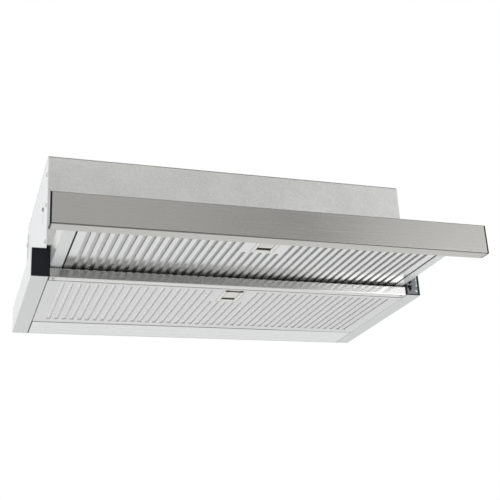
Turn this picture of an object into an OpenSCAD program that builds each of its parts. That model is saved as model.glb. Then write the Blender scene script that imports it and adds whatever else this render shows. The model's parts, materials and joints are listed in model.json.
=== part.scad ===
// Pull out range hood for a 60 cm wall cabinet.
// Origin: middle of the bottom edge of the back panel, on the wall plane.
// +X to the right seen from the kitchen, +Y to the wall, +Z up. Shown with the tray pulled out.

/* [Body] */
// Overall width of the lower section
hood_w = 598; // [500:1:900]
// Depth of the body, from the wall to its front plane
body_d = 285; // [275:1:320]
// Height of the body
body_h = 184; // [176:1:260]
// Height of the wide lower section
lower_h = 43; // [38:1:46]
// Step on each side from the lower section to the box that slips into the cabinet
box_inset = 20; // [18:0.5:30]
// Thickness of the body sheet
sheet_t = 0.8; // [0.6:0.1:1.0]
// Inner radius of the sheet bends
bend_r = 0.8; // [0.5:0.1:1.2]
// Width of the bottom flange of a side panel
bottom_flange_w = 24.5; // [23:0.5:26]
// Height of the upturned edge of that flange
return_h = 8; // [7:0.5:10]
// Width of the flange that carries the top panel
top_flange_w = 12; // [8:1:20]
// Depth of the folded edges of the upper front sheet
front_fold_d = 14; // [8:1:15]

/* [Cabinet fixing holes] */
// Distance of the front hole from the front plane
fixing_y = 52; // [40:1:80]
// Distance between the two holes of a side
fixing_spacing = 192; // [160:1:200]
// Height of the holes
fixing_z = 122; // [100:1:150]
// Diameter of the holes
fixing_d = 5; // [4:0.5:6]
// Length of the slot under the front hole
fixing_slot_l = 18; // [10:1:45]

/* [Front strip and corner caps] */
// Height of the strip under the tray
strip_h = 14; // [11:0.5:15]
// Depth of the strip's bottom flange
strip_flange_d = 12; // [8:0.5:13]
// Depth of the strip's top flange
strip_top_d = 8; // [6:0.5:10]
// How far a corner cap reaches past the bottom flange
cap_reach = 1.5; // [1:0.1:1.5]
// Depth of a corner cap in its channel
cap_d = 12; // [8:1:16]
// Wall thickness of the caps
cap_wall = 2; // [1.5:0.1:2.5]
// Width of the raised border round a cap
cap_border = 2.6; // [2:0.1:3.2]
// Clearance round pieces that plug in
plug_gap = 0.1; // [0.1:0.05:0.2]

/* [Controls] */
// Depth of the label plate behind the bezel
label_recess = 1.4; // [1.2:0.1:1.8]
// Width of the bezel round the labels
window_rim = 1.6; // [1.4:0.1:2.6]
// Radius of the bezel window's corners
window_r = 1.2; // [0.6:0.1:2]
// Thickness of the label plate
label_t = 0.8; // [0.6:0.1:1]
// Width of a slider knob
knob_w = 8; // [7:0.5:8.5]
// Height of a slider knob
knob_h = 6.6; // [5:0.2:6.8]
// How far the knobs stand out of the bezel
knob_proud = 0.4; // [0:0.1:0.5]
// Height of the speed knob's middle
speed_z = 24.7; // [24.6:0.1:25.5]
// Travel of the speed knob, up and down alike
speed_travel = 4; // [2:0.5:4]
// Height of the light knob's middle
light_z = 13.5; // [13:0.1:13.6]
// Travel of the light knob downwards
light_travel = 4; // [2:0.5:4.5]
// Thickness of a knob's stem
stem_t = 2; // [1.5:0.1:2.5]
// Clearance round a stem
stem_gap = 0.4; // [0.3:0.1:0.5]

/* [Pull out front] */
// Distance that the tray travels
travel = 183; // [150:1:185]
// How much narrower than the body the front panel is on each side
panel_inset = 1.5; // [0.5:0.5:6]
// Height of the front panel
panel_h = 42; // [38:1:50]
// How far the front panel hangs below the body
panel_drop = 3.6; // [2:0.1:6]
// Depth of the front panel
panel_lip = 20; // [16:1:26]
// Gap behind the front panel when it is closed
closed_gap = 1; // [0.8:0.1:3]
// Thickness of a front end cap
end_cap_t = 2.5; // [2:0.1:3.5]
// How far an end cap plugs into the panel
end_plug_d = 6; // [4:0.5:10]

/* [Tray] */
// Gap between the tray and the bottom flange on each side
tray_side_gap = 1.8; // [1.7:0.1:3]
// Height of the tray's underside
tray_z = 16.7; // [16.2:0.1:17.2]
// Height of a side member's outer wall
tray_side_h = 28; // [27.5:0.5:28.5]
// Width of a side member's bottom flange
tray_flange_w = 16.7; // [16.5:0.1:17]
// Width of the seat above the tray filter's edge
seat_w = 5; // [3:0.5:8]
// Gap between the tray filter and that seat
seat_gap = 0.3; // [0.2:0.1:1]
// Length of the tray behind the front panel
tray_l = 244; // [240:1:246]
// Depth of the front cross member
front_rail_d = 26; // [22:1:28]
// Depth of the rear cross member
rear_rail_d = 14; // [10:1:18]
// Height of the rear cross member
rear_rail_h = 20; // [16:1:24]
// Gap between the tray's top and the upper front sheet
tray_top_gap = 2.3; // [2:0.1:4]

/* [Telescopic slides] */
// Height of the fixed rail
rail_h = 27; // [26:0.5:27]
// Depth of the fixed rail's channel
rail_w = 10; // [9.5:0.1:10.2]
// Thickness of the rails
rail_t = 1.2; // [1:0.1:1.3]
// Thickness of the slide bracket
bracket_t = 1.2; // [1:0.1:1.4]
// Length of the fixed rail
rail_l = 262; // [240:1:264]
// Diameter of the balls
ball_d = 2.6; // [2.4:0.1:2.8]
// Number of balls in each row
balls = 4; // [2:1:6]
// Length of the ball cage
cage_l = 44; // [36:1:46]
// Running clearance of the slides
slide_gap = 0.5; // [0.4:0.1:0.6]

/* [Grease filters] */
// Distance between the middles of two slots
slot_pitch = 12; // [10:0.5:16]
// Width of a slot
slot_w = 6; // [3:0.5:7]
// Plain edge beside the first slot
slot_side = 10; // [6:0.5:14]
// Plain edge in front of the slots
slot_front = 8.2; // [6:0.2:12]
// Plain edge behind the slots
slot_rear = 14.5; // [8:0.5:18]
// Radius of a slot's corners
slot_r = 1.2; // [0.8:0.1:3]
// Height of the turned-in rim of a slot
slot_rim_h = 2.2; // [1.5:0.1:2.6]
// Height of a filter cassette
filter_h = 9; // [8.5:0.1:10]
// Thickness of the mesh pad
mesh_t = 3; // [2:0.5:3.5]
// Gap round a filter
filter_gap = 0.6; // [0.4:0.1:1]
// Gap beside the tray filter
tray_filter_gap = 1.6; // [0.6:0.1:2.4]
// Gap behind the fixed filter, which its swing needs
swing_gap = 2; // [1.8:0.1:3]
// Diameter of the fixed filter's hinge pins
hinge_d = 3; // [2.5:0.1:3.5]
// Radial clearance of the hinge pins
pin_gap = 0.05; // [0.03:0.01:0.1]

/* [Filter latches] */
// Width of the latch plate
latch_w = 33.4; // [30:0.2:36]
// Length of the latch plate
latch_l = 52; // [50:1:54]
// Distance from the filter's front edge to the latch plate
latch_edge = 3; // [3:0.1:5]
// Width of the latch slide
slide_w = 20; // [16:0.5:22]
// Travel of the latch slide
latch_travel = 4.5; // [3:0.5:6]
// Reach of the tray latch over its cross member
tongue_reach = 5; // [3:0.5:8]

/* [Light] */
// Depth of the light panel behind the fixed filter
light_panel_d = 67.7; // [60:0.5:70]
// Distance from the wall to the middle of the lamp
lamp_y = 33; // [30:0.5:36]
// Gap beside the light panel
light_gap = 1; // [0.6:0.1:1.6]
// Plain end of the light panel beside the lamp
lamp_end = 23.5; // [16:0.5:120]
// Visible width of the diffuser
lamp_w = 16; // [12:0.5:18]

/* [Blower] */
// Distance from the wall to the middle of the outlet
outlet_y = 135; // [130:1:140]
// Radius of the impellers
fan_r = 44; // [38:1:44]
// Width of an impeller
fan_w = 56; // [40:1:60]
// Number of blades of an impeller
fan_blades = 30; // [20:1:34]
// First radius of the scroll
scroll_r = 52; // [50:1:53]
// Growth of the scroll in each quarter turn
scroll_step = 10; // [8:1:10]
// Width of the blower housing
scroll_w = 140; // [130:1:160]
// Wall thickness of the blower housing
scroll_t = 1.2; // [1:0.1:1.5]
// Radius of a motor
motor_r = 32; // [26:1:36]
// Length of a motor
motor_l = 40; // [30:1:60]
// Diameter of a motor shaft
shaft_d = 8; // [6:0.5:10]

/* [Outlet] */
// Outside diameter of the outlet collar
collar_d = 120; // [100:1:125]
// Height of the collar above its flange
collar_h = 30; // [28:1:50]
// Wall of the collar
collar_t = 2; // [1.5:0.1:2.5]
// Thickness of the collar's flange
collar_flange_t = 2; // [1.5:0.1:3]
// Thickness of a non-return flap
flap_t = 1.2; // [1:0.1:1.5]
// Radial gap between the flaps and the collar
flap_gap = 1; // [0.6:0.1:1.5]

/* [Fasteners] */
// Diameter of a screw's shank
screw_d = 3; // [2.5:0.1:3.5]
// Diameter of a screw's head
screw_head_d = 6; // [5:0.1:7]
// Height of a screw's head
screw_head_h = 1.6; // [1.2:0.1:2.2]
// Radial gap between a screw and its hole
screw_gap = 0.1; // [0.05:0.05:0.2]

/* [Hidden] */
$fn = 48;

// body
half_w = hood_w / 2;
box_half = half_w - box_inset;
front_y = -body_d;
seam_x = half_w - bottom_flange_w;
top_z = body_h - sheet_t;
strip_ends_x = seam_x - cap_reach - plug_gap;

// corner caps
cap_x0 = seam_x - cap_reach;
cap_x1 = half_w - sheet_t - plug_gap;
cap_z0 = sheet_t + plug_gap;
cap_z1 = lower_h - sheet_t - plug_gap;
lug_l = 10;
lug_h = 4;
lug_y = front_y + strip_flange_d / 2;
lug_x = cap_x0 - lug_l / 2;

// controls
window_x0 = cap_x0 + cap_border + 1.4;
window_x1 = cap_x1 - window_rim;
window_z0 = cap_z0 + window_rim;
window_z1 = cap_z1 - window_rim;
label_lap = 0.4;
label_y = front_y + label_recess;
stem_x = window_x0 + 5.5;
switch_d = 18;

// pull out
rear_y = front_y - closed_gap - travel;
face_y = rear_y - panel_lip;
panel_z0 = -panel_drop;
panel_z1 = panel_z0 + panel_h;
panel_half = half_w - panel_inset;
skin_half = panel_half - end_cap_t;
tray_half = seam_x - tray_side_gap;
lip_x = tray_half - tray_flange_w;
tray_y1 = rear_y + tray_l;
tray_top = tray_z + tray_side_h;
seat_z = tray_z + filter_h + seat_gap;
front_sheet_z = tray_top + tray_top_gap;

// slides
rail_z0 = tray_z + sheet_t + slide_gap;
rail_z1 = rail_z0 + rail_h;
bracket_x = lip_x + sheet_t + slide_gap + 0.1;
rail_x = bracket_x + bracket_t;
rail_y0 = front_y + 6;
bracket_top = rail_z1 + 3;
bracket_flange_h = 10;
rail_lip = 1.8;
ball_space = ball_d + 0.7;
race_lo = rail_z0 + rail_t;
race_hi = rail_z1 - rail_t;
inner_lo = race_lo + ball_space;
inner_hi = race_hi - ball_space;
inner_x0 = rail_x + rail_t + 2.2;
inner_x1 = tray_half - sheet_t;
inner_y0 = rear_y + 6;
inner_y1 = tray_y1 - 2;
cage_t = 0.6;
cage_x = rail_x + rail_t + 0.8;
cage_w = 5.4;
cage_y0 = rail_y0 + 4;
ball_x = cage_x + 3.4;

// filters
tray_filter_y0 = rear_y + front_rail_d + filter_gap / 2;
tray_filter_y1 = tray_y1 - rear_rail_d - filter_gap / 2;
tray_filter_half = lip_x - tray_filter_gap;
fixed_y0 = front_y + strip_flange_d + 2.3;
light_y0 = -sheet_t - light_panel_d;
fixed_y1 = light_y0 - swing_gap;
fixed_half = seam_x - filter_gap;
hinge_y = fixed_y1 - 4.5;
hinge_z = 4;
latch_zone = latch_edge + latch_l + 3.7;
latch_slots = 2;
slot_rim_t = 0.6;
tab_inset = 101;
tab_w = 24;
tab_l = 8;
tab_gap = 0.2;

// latch plate, measured back from its rear edge
slide_rear = 15;
finger_room = 4.5;
pocket_rear = slide_rear - latch_travel - finger_room;
slide_front = 39;
pocket_front = 39.5;
window_rear = 41;
window_front = 50;
latch_box_h = 7;
tongue_z = 1.1;
tongue_t = 1.5;
tongue_w = 16;

// lamp
light_half = seam_x - light_gap;
lamp_l = 2 * (light_half - lamp_end);
lamp_mid = -lamp_y;
lamp_rim = 3;
lamp_roof = 9;
led_pitch = 20;
led_w = 3;
led_h = 1;
board_w = 10;
board_end = 4;

// blower
scroll_y = -outlet_y - (scroll_r + 3 * scroll_step) / 2;
scroll_z = bracket_top + bracket_t + 0.6 + scroll_t + scroll_r + scroll_step;
scroll_right = scroll_y + scroll_r + 3 * scroll_step;
fan_y = scroll_y + 4;
fan_z = scroll_z + 3;
fan_x0 = 6;
fan_disc_t = 2;
fan_ring_w = 6;
hub_l = 12;
hub_wall = 5;
blade_d = 9;
blade_rim = 1.2;
inlet_r = fan_r - 6;
plate_x = scroll_w / 2;
motor_x = plate_x + 6;

// outlet
collar_r = collar_d / 2;
flap_z = body_h + 7;
flap_axis_x = 3;
flap_barrel_r = 1.8;
flap_pin_r = 1.2;
flap_r = collar_r - collar_t - flap_gap;

// terminal box, gland and capacitor
terminal_l = 90;
terminal_w = 60;
terminal_h = 36;
terminal_inset = 39;
terminal_x = box_half - terminal_inset - terminal_l;
vent_w = 12;
vent_h = 12;
vent_pitch = 18;
gland_x = terminal_x + terminal_l / 2;
gland_y = -80;
gland_r = 8;
gland_seat_h = 12;
gland_nut_r = 12;
gland_nut_h = 5;
gland_head_r = 10;
gland_head_h = 9;
gland_top = body_h + gland_nut_h + gland_head_h;
cable_r = 4;
cap_can_inset = 89;
cap_can_x = cap_can_inset - box_half;
cap_can_y = -90;
cap_can_r = 17.5;
cap_can_h = 52;
stud_r = 4;
stud_h = 9;
stud_nut_r = 7;
stud_nut_h = 5;

// screws
top_screw_rear = 40;
top_screw_front = 45;
screw_l = 4;
tray_screw_l = 3;
top_screws = [for (x = [-1, 1], i = [0:2])
    [x * (box_half - top_flange_w / 2 - 1), -top_screw_rear - i * (body_d - top_screw_front - top_screw_rear) / 2]];
back_screw_y = -8;
back_screw_zs = [72, 150];
back_tab_d = 12;
back_tab_z0 = 123;
back_tab_z1 = 170;
bead_half = 200;
bead_w = 12;
bead_d = 2;
bead_zs = [70, 112, 154];
rivet_zs = [57, 112, 160];
rivet_inset = 12;
rivet_y = front_y + rivet_inset;
tray_screw_inset = 12;
tray_screw_x = lip_x - tray_screw_inset;
tray_screw_zs = [22, 33];

steel = [0.68, 0.67, 0.64];
galvanised = [0.80, 0.81, 0.81];
white_sheet = [0.93, 0.93, 0.93];
aluminium = [0.84, 0.84, 0.83];
black = [0.12, 0.12, 0.14];
ivory = [0.88, 0.87, 0.80];

// box between two opposite corners
module block(lo, hi) {
    translate(lo) cube(hi - lo);
}

// a (x, z) outline drawn out along Y
module along_y(y0, y1) {
    translate([0, y1, 0]) rotate([90, 0, 0]) linear_extrude(y1 - y0) children();
}

// a (y, z) outline drawn out along X
module along_x(x0, x1) {
    translate([x0, 0, 0]) rotate([90, 0, 90]) linear_extrude(x1 - x0) children();
}

module cyl_x(x0, x1, r) {
    translate([x0, 0, 0]) rotate([0, 90, 0]) cylinder(r = r, h = x1 - x0);
}

module cyl_y(y0, y1, r) {
    translate([0, y1, 0]) rotate([90, 0, 0]) cylinder(r = r, h = y1 - y0);
}

// folded strip through the points of its middle line, with right-angled bends
module folded(points, t, r = bend_r) {
    m = r + t / 2;
    last = len(points) - 2;
    for (i = [0:last]) {
        way = points[i + 1] - points[i];
        dir = way / norm(way);
        a = points[i] + dir * (i == 0 ? 0 : m);
        b = points[i + 1] - dir * (i == last ? 0 : m);
        side = [abs(dir[1]), abs(dir[0])] * t / 2;
        lo = [min(a[0], b[0]), min(a[1], b[1])] - side;
        hi = [max(a[0], b[0]), max(a[1], b[1])] + side;
        translate(lo) square(hi - lo);
    }
    for (i = [1:1:last]) {
        before = (points[i] - points[i - 1]) / norm(points[i] - points[i - 1]);
        after = (points[i + 1] - points[i]) / norm(points[i + 1] - points[i]);
        out = before - after;
        translate(points[i] - before * m + after * m) intersection() {
            difference() {
                circle(r = r + t);
                circle(r = r);
            }
            translate([min(0, out[0]), min(0, out[1])] * (r + t)) square(r + t);
        }
    }
}

// rectangle with round corners
module rounded(lo, hi, r) {
    translate([lo[0] + r, lo[1]]) square([hi[0] - lo[0] - 2 * r, hi[1] - lo[1]]);
    translate([lo[0], lo[1] + r]) square([hi[0] - lo[0], hi[1] - lo[1] - 2 * r]);
    for (u = [lo[0] + r, hi[0] - r], v = [lo[1] + r, hi[1] - r])
        translate([u, v]) circle(r = r);
}

// pan head screw pointing down, its head standing on z = 0
module screw(shank) {
    cylinder(d = screw_head_d, h = screw_head_h);
    translate([0, 0, -shank]) cylinder(d = screw_d, h = shank);
}

module screw_hole(depth) {
    translate([0, 0, -depth]) cylinder(r = screw_d / 2 + screw_gap, h = 2 * depth);
}

// ---------------------------------------------------------------- body

module side_sheet() {
    m = sheet_t / 2;
    folded([
        [box_half - top_flange_w, top_z - m],
        [box_half - m, top_z - m],
        [box_half - m, lower_h - m],
        [half_w - m, lower_h - m],
        [half_w - m, m],
        [seam_x + m, m],
        [seam_x + m, return_h]
    ], sheet_t);
}

module side_panel() {
    color(white_sheet) difference() {
        along_y(front_y, -sheet_t) side_sheet();
        // room for the corner cap
        block([seam_x - 1, front_y - 1, sheet_t], [seam_x + 2 * sheet_t, front_y + cap_d + 1, return_h + 1]);
        // bearing of the fixed filter
        translate([0, hinge_y, hinge_z]) cyl_x(seam_x - 1, seam_x + 2, hinge_d / 2 + pin_gap);
        for (i = [0, 1])
            translate([0, front_y + fixing_y + i * fixing_spacing, fixing_z])
                cyl_x(box_half - 2, box_half + 1, fixing_d / 2);
        block([box_half - 2, front_y + fixing_y - 0.6, fixing_z - fixing_d - fixing_slot_l],
            [box_half + 1, front_y + fixing_y + 0.6, fixing_z - fixing_d]);
        for (z = rivet_zs)
            translate([0, rivet_y, z]) cyl_x(box_half - 2, box_half + 1, screw_d / 2 + screw_gap);
        for (z = back_screw_zs)
            translate([0, back_screw_y, z]) cyl_x(box_half - 2, box_half + 1, screw_d / 2 + screw_gap);
        for (p = top_screws)
            translate([abs(p[0]), p[1], top_z]) screw_hole(2);
        // top flange cut back for the fold of the upper front sheet
        block([box_half - top_flange_w - 1, front_y - 1, top_z - sheet_t - bend_r],
            [box_half - sheet_t, front_y + front_fold_d + 1, top_z + 1]);
    }
}

module right_side_panel() {
    side_panel();
}

module left_side_panel() {
    mirror([1, 0, 0]) side_panel();
}

// stiffening bead pressed inwards
module bead(z, w, y0, y1) {
    block([-bead_half - w / 2, y0, z - w / 2], [bead_half + w / 2, y1, z + w / 2]);
}

module back_panel() {
    inner = box_half - sheet_t;
    color(galvanised) difference() {
        union() {
            block([-half_w, -sheet_t, 0], [half_w, 0, lower_h]);
            block([-box_half, -sheet_t, lower_h], [box_half, 0, top_z]);
            for (z = bead_zs)
                bead(z, bead_w + 2 * sheet_t, -sheet_t - bead_d, -sheet_t / 2);
            for (s = [0, 1]) mirror([s, 0, 0]) {
                // flange that the side panel is screwed to
                block([inner - sheet_t, -front_fold_d, front_sheet_z + bracket_flange_h],
                    [inner, -sheet_t / 2, top_z - sheet_t - bend_r]);
                // tab folded round the outside
                block([box_half - sheet_t / 2, -sheet_t / 2, back_tab_z0], [box_half + sheet_t, 0, back_tab_z1]);
                block([box_half, -back_tab_d, back_tab_z0], [box_half + sheet_t, -sheet_t / 4, back_tab_z1]);
            }
        }
        for (z = bead_zs)
            bead(z, bead_w, -bead_d, 1);
        for (s = [0, 1], z = back_screw_zs) mirror([s, 0, 0])
            translate([0, back_screw_y, z]) cyl_x(inner - 2, box_half + 2, screw_d / 2 + screw_gap);
    }
}

module upper_front_panel() {
    m = sheet_t / 2;
    inner = box_half - sheet_t;
    color(galvanised) difference() {
        union() {
            along_x(-inner, inner) folded([
                [front_y + front_fold_d, front_sheet_z + m],
                [front_y + m, front_sheet_z + m],
                [front_y + m, top_z - m],
                [front_y + front_fold_d, top_z - m]
            ], sheet_t);
            for (s = [0, 1]) mirror([s, 0, 0])
                block([inner - sheet_t, front_y + m, front_sheet_z + m],
                    [inner, front_y + front_fold_d + 6, top_z - sheet_t - bend_r]);
        }
        for (z = rivet_zs, s = [0, 1]) mirror([s, 0, 0])
            translate([0, rivet_y, z]) cyl_x(inner - 2, inner + 1, screw_d / 2 + screw_gap);
    }
}

module top_panel() {
    color(galvanised) difference() {
        block([-box_half, front_y, top_z], [box_half, 0, body_h]);
        translate([0, -outlet_y, top_z - 1]) cylinder(r = collar_r - collar_t - 1, h = 4, $fn = 96);
        translate([gland_x, gland_y, top_z - 1]) cylinder(r = gland_r + 0.2, h = 4);
        translate([cap_can_x, cap_can_y, top_z - 1]) cylinder(r = stud_r + 0.2, h = 4);
        for (p = top_screws)
            translate([p[0], p[1], body_h]) screw_hole(2);
    }
}

// ---------------------------------------------------------------- front strip, caps, controls

module front_strip() {
    m = sheet_t / 2;
    color(steel) difference() {
        along_x(-strip_ends_x, strip_ends_x) folded([
            [front_y + strip_flange_d, m],
            [front_y + m, m],
            [front_y + m, strip_h - m],
            [front_y + strip_top_d, strip_h - m]
        ], sheet_t);
        for (s = [-1, 1])
            translate([s * lug_x, lug_y, 0]) screw_hole(2);
    }
}

// front plate with a rim that plugs into the channel, and a lug that carries the strip
module cap_shell() {
    plug_x = seam_x + plug_gap;
    along_y(front_y, front_y + cap_wall) rounded([cap_x0, cap_z0], [cap_x1, cap_z1], bend_r);
    along_y(front_y + cap_wall, front_y + cap_d) difference() {
        rounded([plug_x, cap_z0], [cap_x1, cap_z1], bend_r);
        translate([plug_x + cap_wall, cap_z0 + cap_wall])
            square([cap_x1 - plug_x - 2 * cap_wall, cap_z1 - cap_z0 - 2 * cap_wall]);
    }
    difference() {
        block([cap_x0 - lug_l, front_y + sheet_t + bend_r, cap_z0],
            [cap_x0 + cap_wall, front_y + strip_flange_d - 1, cap_z0 + lug_h]);
        translate([lug_x, lug_y, 0]) screw_hole(lug_h - 1);
    }
}

module left_corner_cap() {
    color(black) mirror([1, 0, 0]) difference() {
        cap_shell();
        block([cap_x0 + cap_border, front_y - 1, cap_z0 + cap_border],
            [cap_x1 - cap_border, front_y + 0.7, cap_z1 - cap_border]);
    }
}

module control_bezel() {
    color(black) difference() {
        union() {
            cap_shell();
            along_y(front_y, label_y) rounded([cap_x0, cap_z0], [cap_x1, cap_z1], bend_r);
        }
        along_y(front_y - 1, front_y + cap_d + 1)
            rounded([window_x0, window_z0], [window_x1, window_z1], window_r);
        // seat of the label plate
        block([window_x0 - label_lap, label_y, window_z0 - label_lap],
            [window_x1 + label_lap, front_y + cap_d + 1, window_z1 + label_lap]);
    }
}

// slots that let the two stems through
module stem_slots(y0, y1) {
    reach = stem_t / 2 + stem_gap;
    block([stem_x - reach, y0, speed_z - speed_travel - reach],
        [stem_x + reach, y1, speed_z + speed_travel + reach]);
    block([stem_x - reach, y0, light_z - light_travel - reach], [stem_x + reach, y1, light_z + reach]);
}

module control_plate() {
    color([0.50, 0.53, 0.55]) difference() {
        block([window_x0 - label_lap + plug_gap, label_y, window_z0 - label_lap + plug_gap],
            [window_x1 + label_lap - plug_gap, label_y + label_t, window_z1 + label_lap - plug_gap]);
        stem_slots(label_y - 1, label_y + label_t + 1);
    }
}

module switch_block() {
    color([0.25, 0.25, 0.27]) difference() {
        block([window_x0 + 0.5, label_y + label_t, window_z0 + 0.5],
            [window_x1 - 0.5, label_y + label_t + switch_d, window_z1 - 0.5]);
        stem_slots(label_y, label_y + label_t + 6);
    }
}

// knob with two grip points towards the labels; up is 1 or -1
module slider(z, up) {
    knob_y1 = label_y - 0.3;
    outline = [[-0.47, -0.5], [0.53, -0.4], [0.49, -0.23], [0.11, -0.13], [0.33, 0.4], [0.16, 0.5], [-0.49, -0.18]];
    color(black) {
        along_y(front_y - knob_proud, knob_y1)
            polygon([for (p = outline) [stem_x + p[0] * knob_w, z + up * p[1] * knob_h]]);
        block([stem_x - stem_t / 2, knob_y1, z - stem_t / 2],
            [stem_x + stem_t / 2, label_y + label_t + 5, z + stem_t / 2]);
    }
}

module speed_slider() {
    slider(speed_z, 1);
}

module light_slider() {
    slider(light_z, -1);
}

// ---------------------------------------------------------------- light

module light_panel() {
    m = sheet_t / 2;
    rim = 12;
    color(aluminium) difference() {
        along_x(-light_half, light_half) folded([
            [light_y0 + m, rim],
            [light_y0 + m, m],
            [-2 * sheet_t, m]
        ], sheet_t);
        block([-lamp_l / 2 - 0.2, lamp_mid - lamp_w / 2 - 0.2, -1],
            [lamp_l / 2 + 0.2, lamp_mid + lamp_w / 2 + 0.2, 2]);
    }
}

module lamp_diffuser() {
    color([0.95, 0.95, 0.93]) {
        block([-lamp_l / 2, lamp_mid - lamp_w / 2, 0], [lamp_l / 2, lamp_mid + lamp_w / 2, sheet_t]);
        block([-lamp_l / 2 - lamp_rim, lamp_mid - lamp_w / 2 - lamp_rim, sheet_t],
            [lamp_l / 2 + lamp_rim, lamp_mid + lamp_w / 2 + lamp_rim, 2 * sheet_t]);
    }
}

module lamp_housing() {
    m = sheet_t / 2;
    reach = lamp_w / 2 + lamp_rim + plug_gap;
    color(white_sheet) along_x(-lamp_l / 2 - lamp_rim, lamp_l / 2 + lamp_rim) folded([
        [lamp_mid - reach - 8, sheet_t + m],
        [lamp_mid - reach - m, sheet_t + m],
        [lamp_mid - reach - m, lamp_roof],
        [lamp_mid + reach + m, lamp_roof],
        [lamp_mid + reach + m, sheet_t + m],
        [lamp_mid + reach + 8, sheet_t + m]
    ], sheet_t);
}

module led_board() {
    board_t = 1.2;
    roof = lamp_roof - sheet_t / 2;
    board_half = lamp_l / 2 - board_end;
    count = floor((board_half - 2 * led_w) / led_pitch);
    color([0.90, 0.92, 0.88]) {
        block([-board_half, lamp_mid - board_w / 2, roof - board_t], [board_half, lamp_mid + board_w / 2, roof]);
        for (i = [-count:count])
            translate([i * led_pitch - led_w / 2, lamp_mid - led_w / 2, roof - board_t - led_h])
                cube([led_w, led_w, led_h]);
    }
}

// ---------------------------------------------------------------- blower

// inside of the scroll, grown by t: three quarter circles and the upright neck
module scroll_outline(t) {
    r1 = scroll_r + t;
    r2 = scroll_r + scroll_step + t;
    r3 = scroll_r + 2 * scroll_step + t;
    intersection() {
        translate([scroll_y, scroll_z]) circle(r = r1, $fn = 96);
        translate([scroll_y - r1, scroll_z]) square(r1);
    }
    intersection() {
        translate([scroll_y + scroll_step, scroll_z]) circle(r = r2, $fn = 96);
        translate([scroll_y + scroll_step - r2, scroll_z - r2]) square(r2);
    }
    intersection() {
        translate([scroll_y + scroll_step, scroll_z + scroll_step]) circle(r = r3, $fn = 96);
        translate([scroll_y + scroll_step, scroll_z + scroll_step - r3]) square(r3);
    }
    translate([scroll_y - t, scroll_z])
        square([scroll_step + r3 + t, top_z - scroll_z]);
}

module blower_housing() {
    half = scroll_w / 2 - scroll_t;
    flange = 10;
    color([0.75, 0.76, 0.77]) {
        difference() {
            along_x(-half, half) scroll_outline(scroll_t);
            along_x(-half - 1, half + 1) union() {
                scroll_outline(0);
                translate([scroll_y, top_z - 1]) square([scroll_right - scroll_y, 2]);
            }
        }
        along_x(-scroll_t / 2, scroll_t / 2) difference() {
            scroll_outline(scroll_t / 2);
            translate([scroll_y - scroll_t, scroll_z + scroll_r])
                square([2 * scroll_r, top_z]);
        }
        // mounting flange under the top panel
        difference() {
            block([-half - flange, scroll_y - flange, top_z - scroll_t],
                [half + flange, scroll_right + flange, top_z]);
            block([-half, scroll_y - scroll_t, 0], [half, scroll_right + scroll_t, body_h]);
        }
    }
}

module inlet_plate() {
    color([0.78, 0.79, 0.80]) translate([plate_x - scroll_t, 0, 0]) difference() {
        union() {
            along_x(0, scroll_t) intersection() {
                scroll_outline(scroll_t);
                translate([scroll_y - 2 * scroll_r, 0]) square([5 * scroll_r, top_z - scroll_t]);
            }
            // rolled inlet rim
            translate([0, fan_y, fan_z]) rotate([0, 90, 0])
                translate([0, 0, scroll_t]) cylinder(r = inlet_r + 2, h = 2, $fn = 96);
        }
        translate([-1, fan_y, fan_z]) rotate([0, 90, 0]) cylinder(r = inlet_r, h = 6, $fn = 96);
    }
}

module right_inlet_plate() {
    inlet_plate();
}

module left_inlet_plate() {
    mirror([1, 0, 0]) inlet_plate();
}

// three legs from the inlet plate to a disc that carries the motor
module motor_bracket() {
    leg_r = inlet_r + 8;
    color(galvanised) translate([0, fan_y, fan_z]) {
        difference() {
            union() {
                cyl_x(motor_x - 1.5, motor_x, motor_r - 8);
                for (a = [90, 210, 330]) rotate([a, 0, 0])
                    block([motor_x - 1.5, -6, 0], [motor_x, 6, leg_r]);
            }
            cyl_x(motor_x - 3, motor_x + 1, shaft_d / 2 + 2);
        }
        for (a = [90, 210, 330]) rotate([a, 0, 0])
            block([plate_x, -6, leg_r - 1.5], [motor_x - 1.5, 6, leg_r]);
        for (a = [90, 210, 330]) rotate([a, 0, 0])
            block([plate_x, -6, leg_r - 1.5], [plate_x + 1.5, 6, leg_r + 7]);
    }
}

module right_motor_bracket() {
    motor_bracket();
}

module left_motor_bracket() {
    mirror([1, 0, 0]) motor_bracket();
}

module motor() {
    color([0.55, 0.56, 0.58]) translate([0, fan_y, fan_z]) difference() {
        union() {
            cyl_x(motor_x, motor_x + 6, motor_r - 4);
            cyl_x(motor_x + 6, motor_x + motor_l - 6, motor_r);
            cyl_x(motor_x + motor_l - 6, motor_x + motor_l, motor_r - 4);
        }
        cyl_x(motor_x - 1, motor_x + motor_l - 3, shaft_d / 2 + pin_gap);
        // cooling slots in the end cover
        for (a = [0:45:315]) rotate([a, 0, 0])
            block([motor_x + motor_l - 2, -1.5, 12], [motor_x + motor_l + 1, 1.5, motor_r - 9]);
    }
}

module right_motor() {
    motor();
}

module left_motor() {
    mirror([1, 0, 0]) motor();
}

// one forward-curved blade, an arc band between two radii
function blade_edge(r0, r1, bow) = [for (i = [0:4]) let (s = i / 4)
    (r0 + (r1 - r0) * s) * [cos(bow * s * s), sin(bow * s * s)]];

module blade() {
    bow = 9;
    outer = blade_edge(fan_r - blade_d, fan_r - blade_rim, bow);
    inner = [for (i = [4:-1:0]) outer[i] + [0.15, -0.9]];
    polygon(concat(outer, inner));
}

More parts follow.
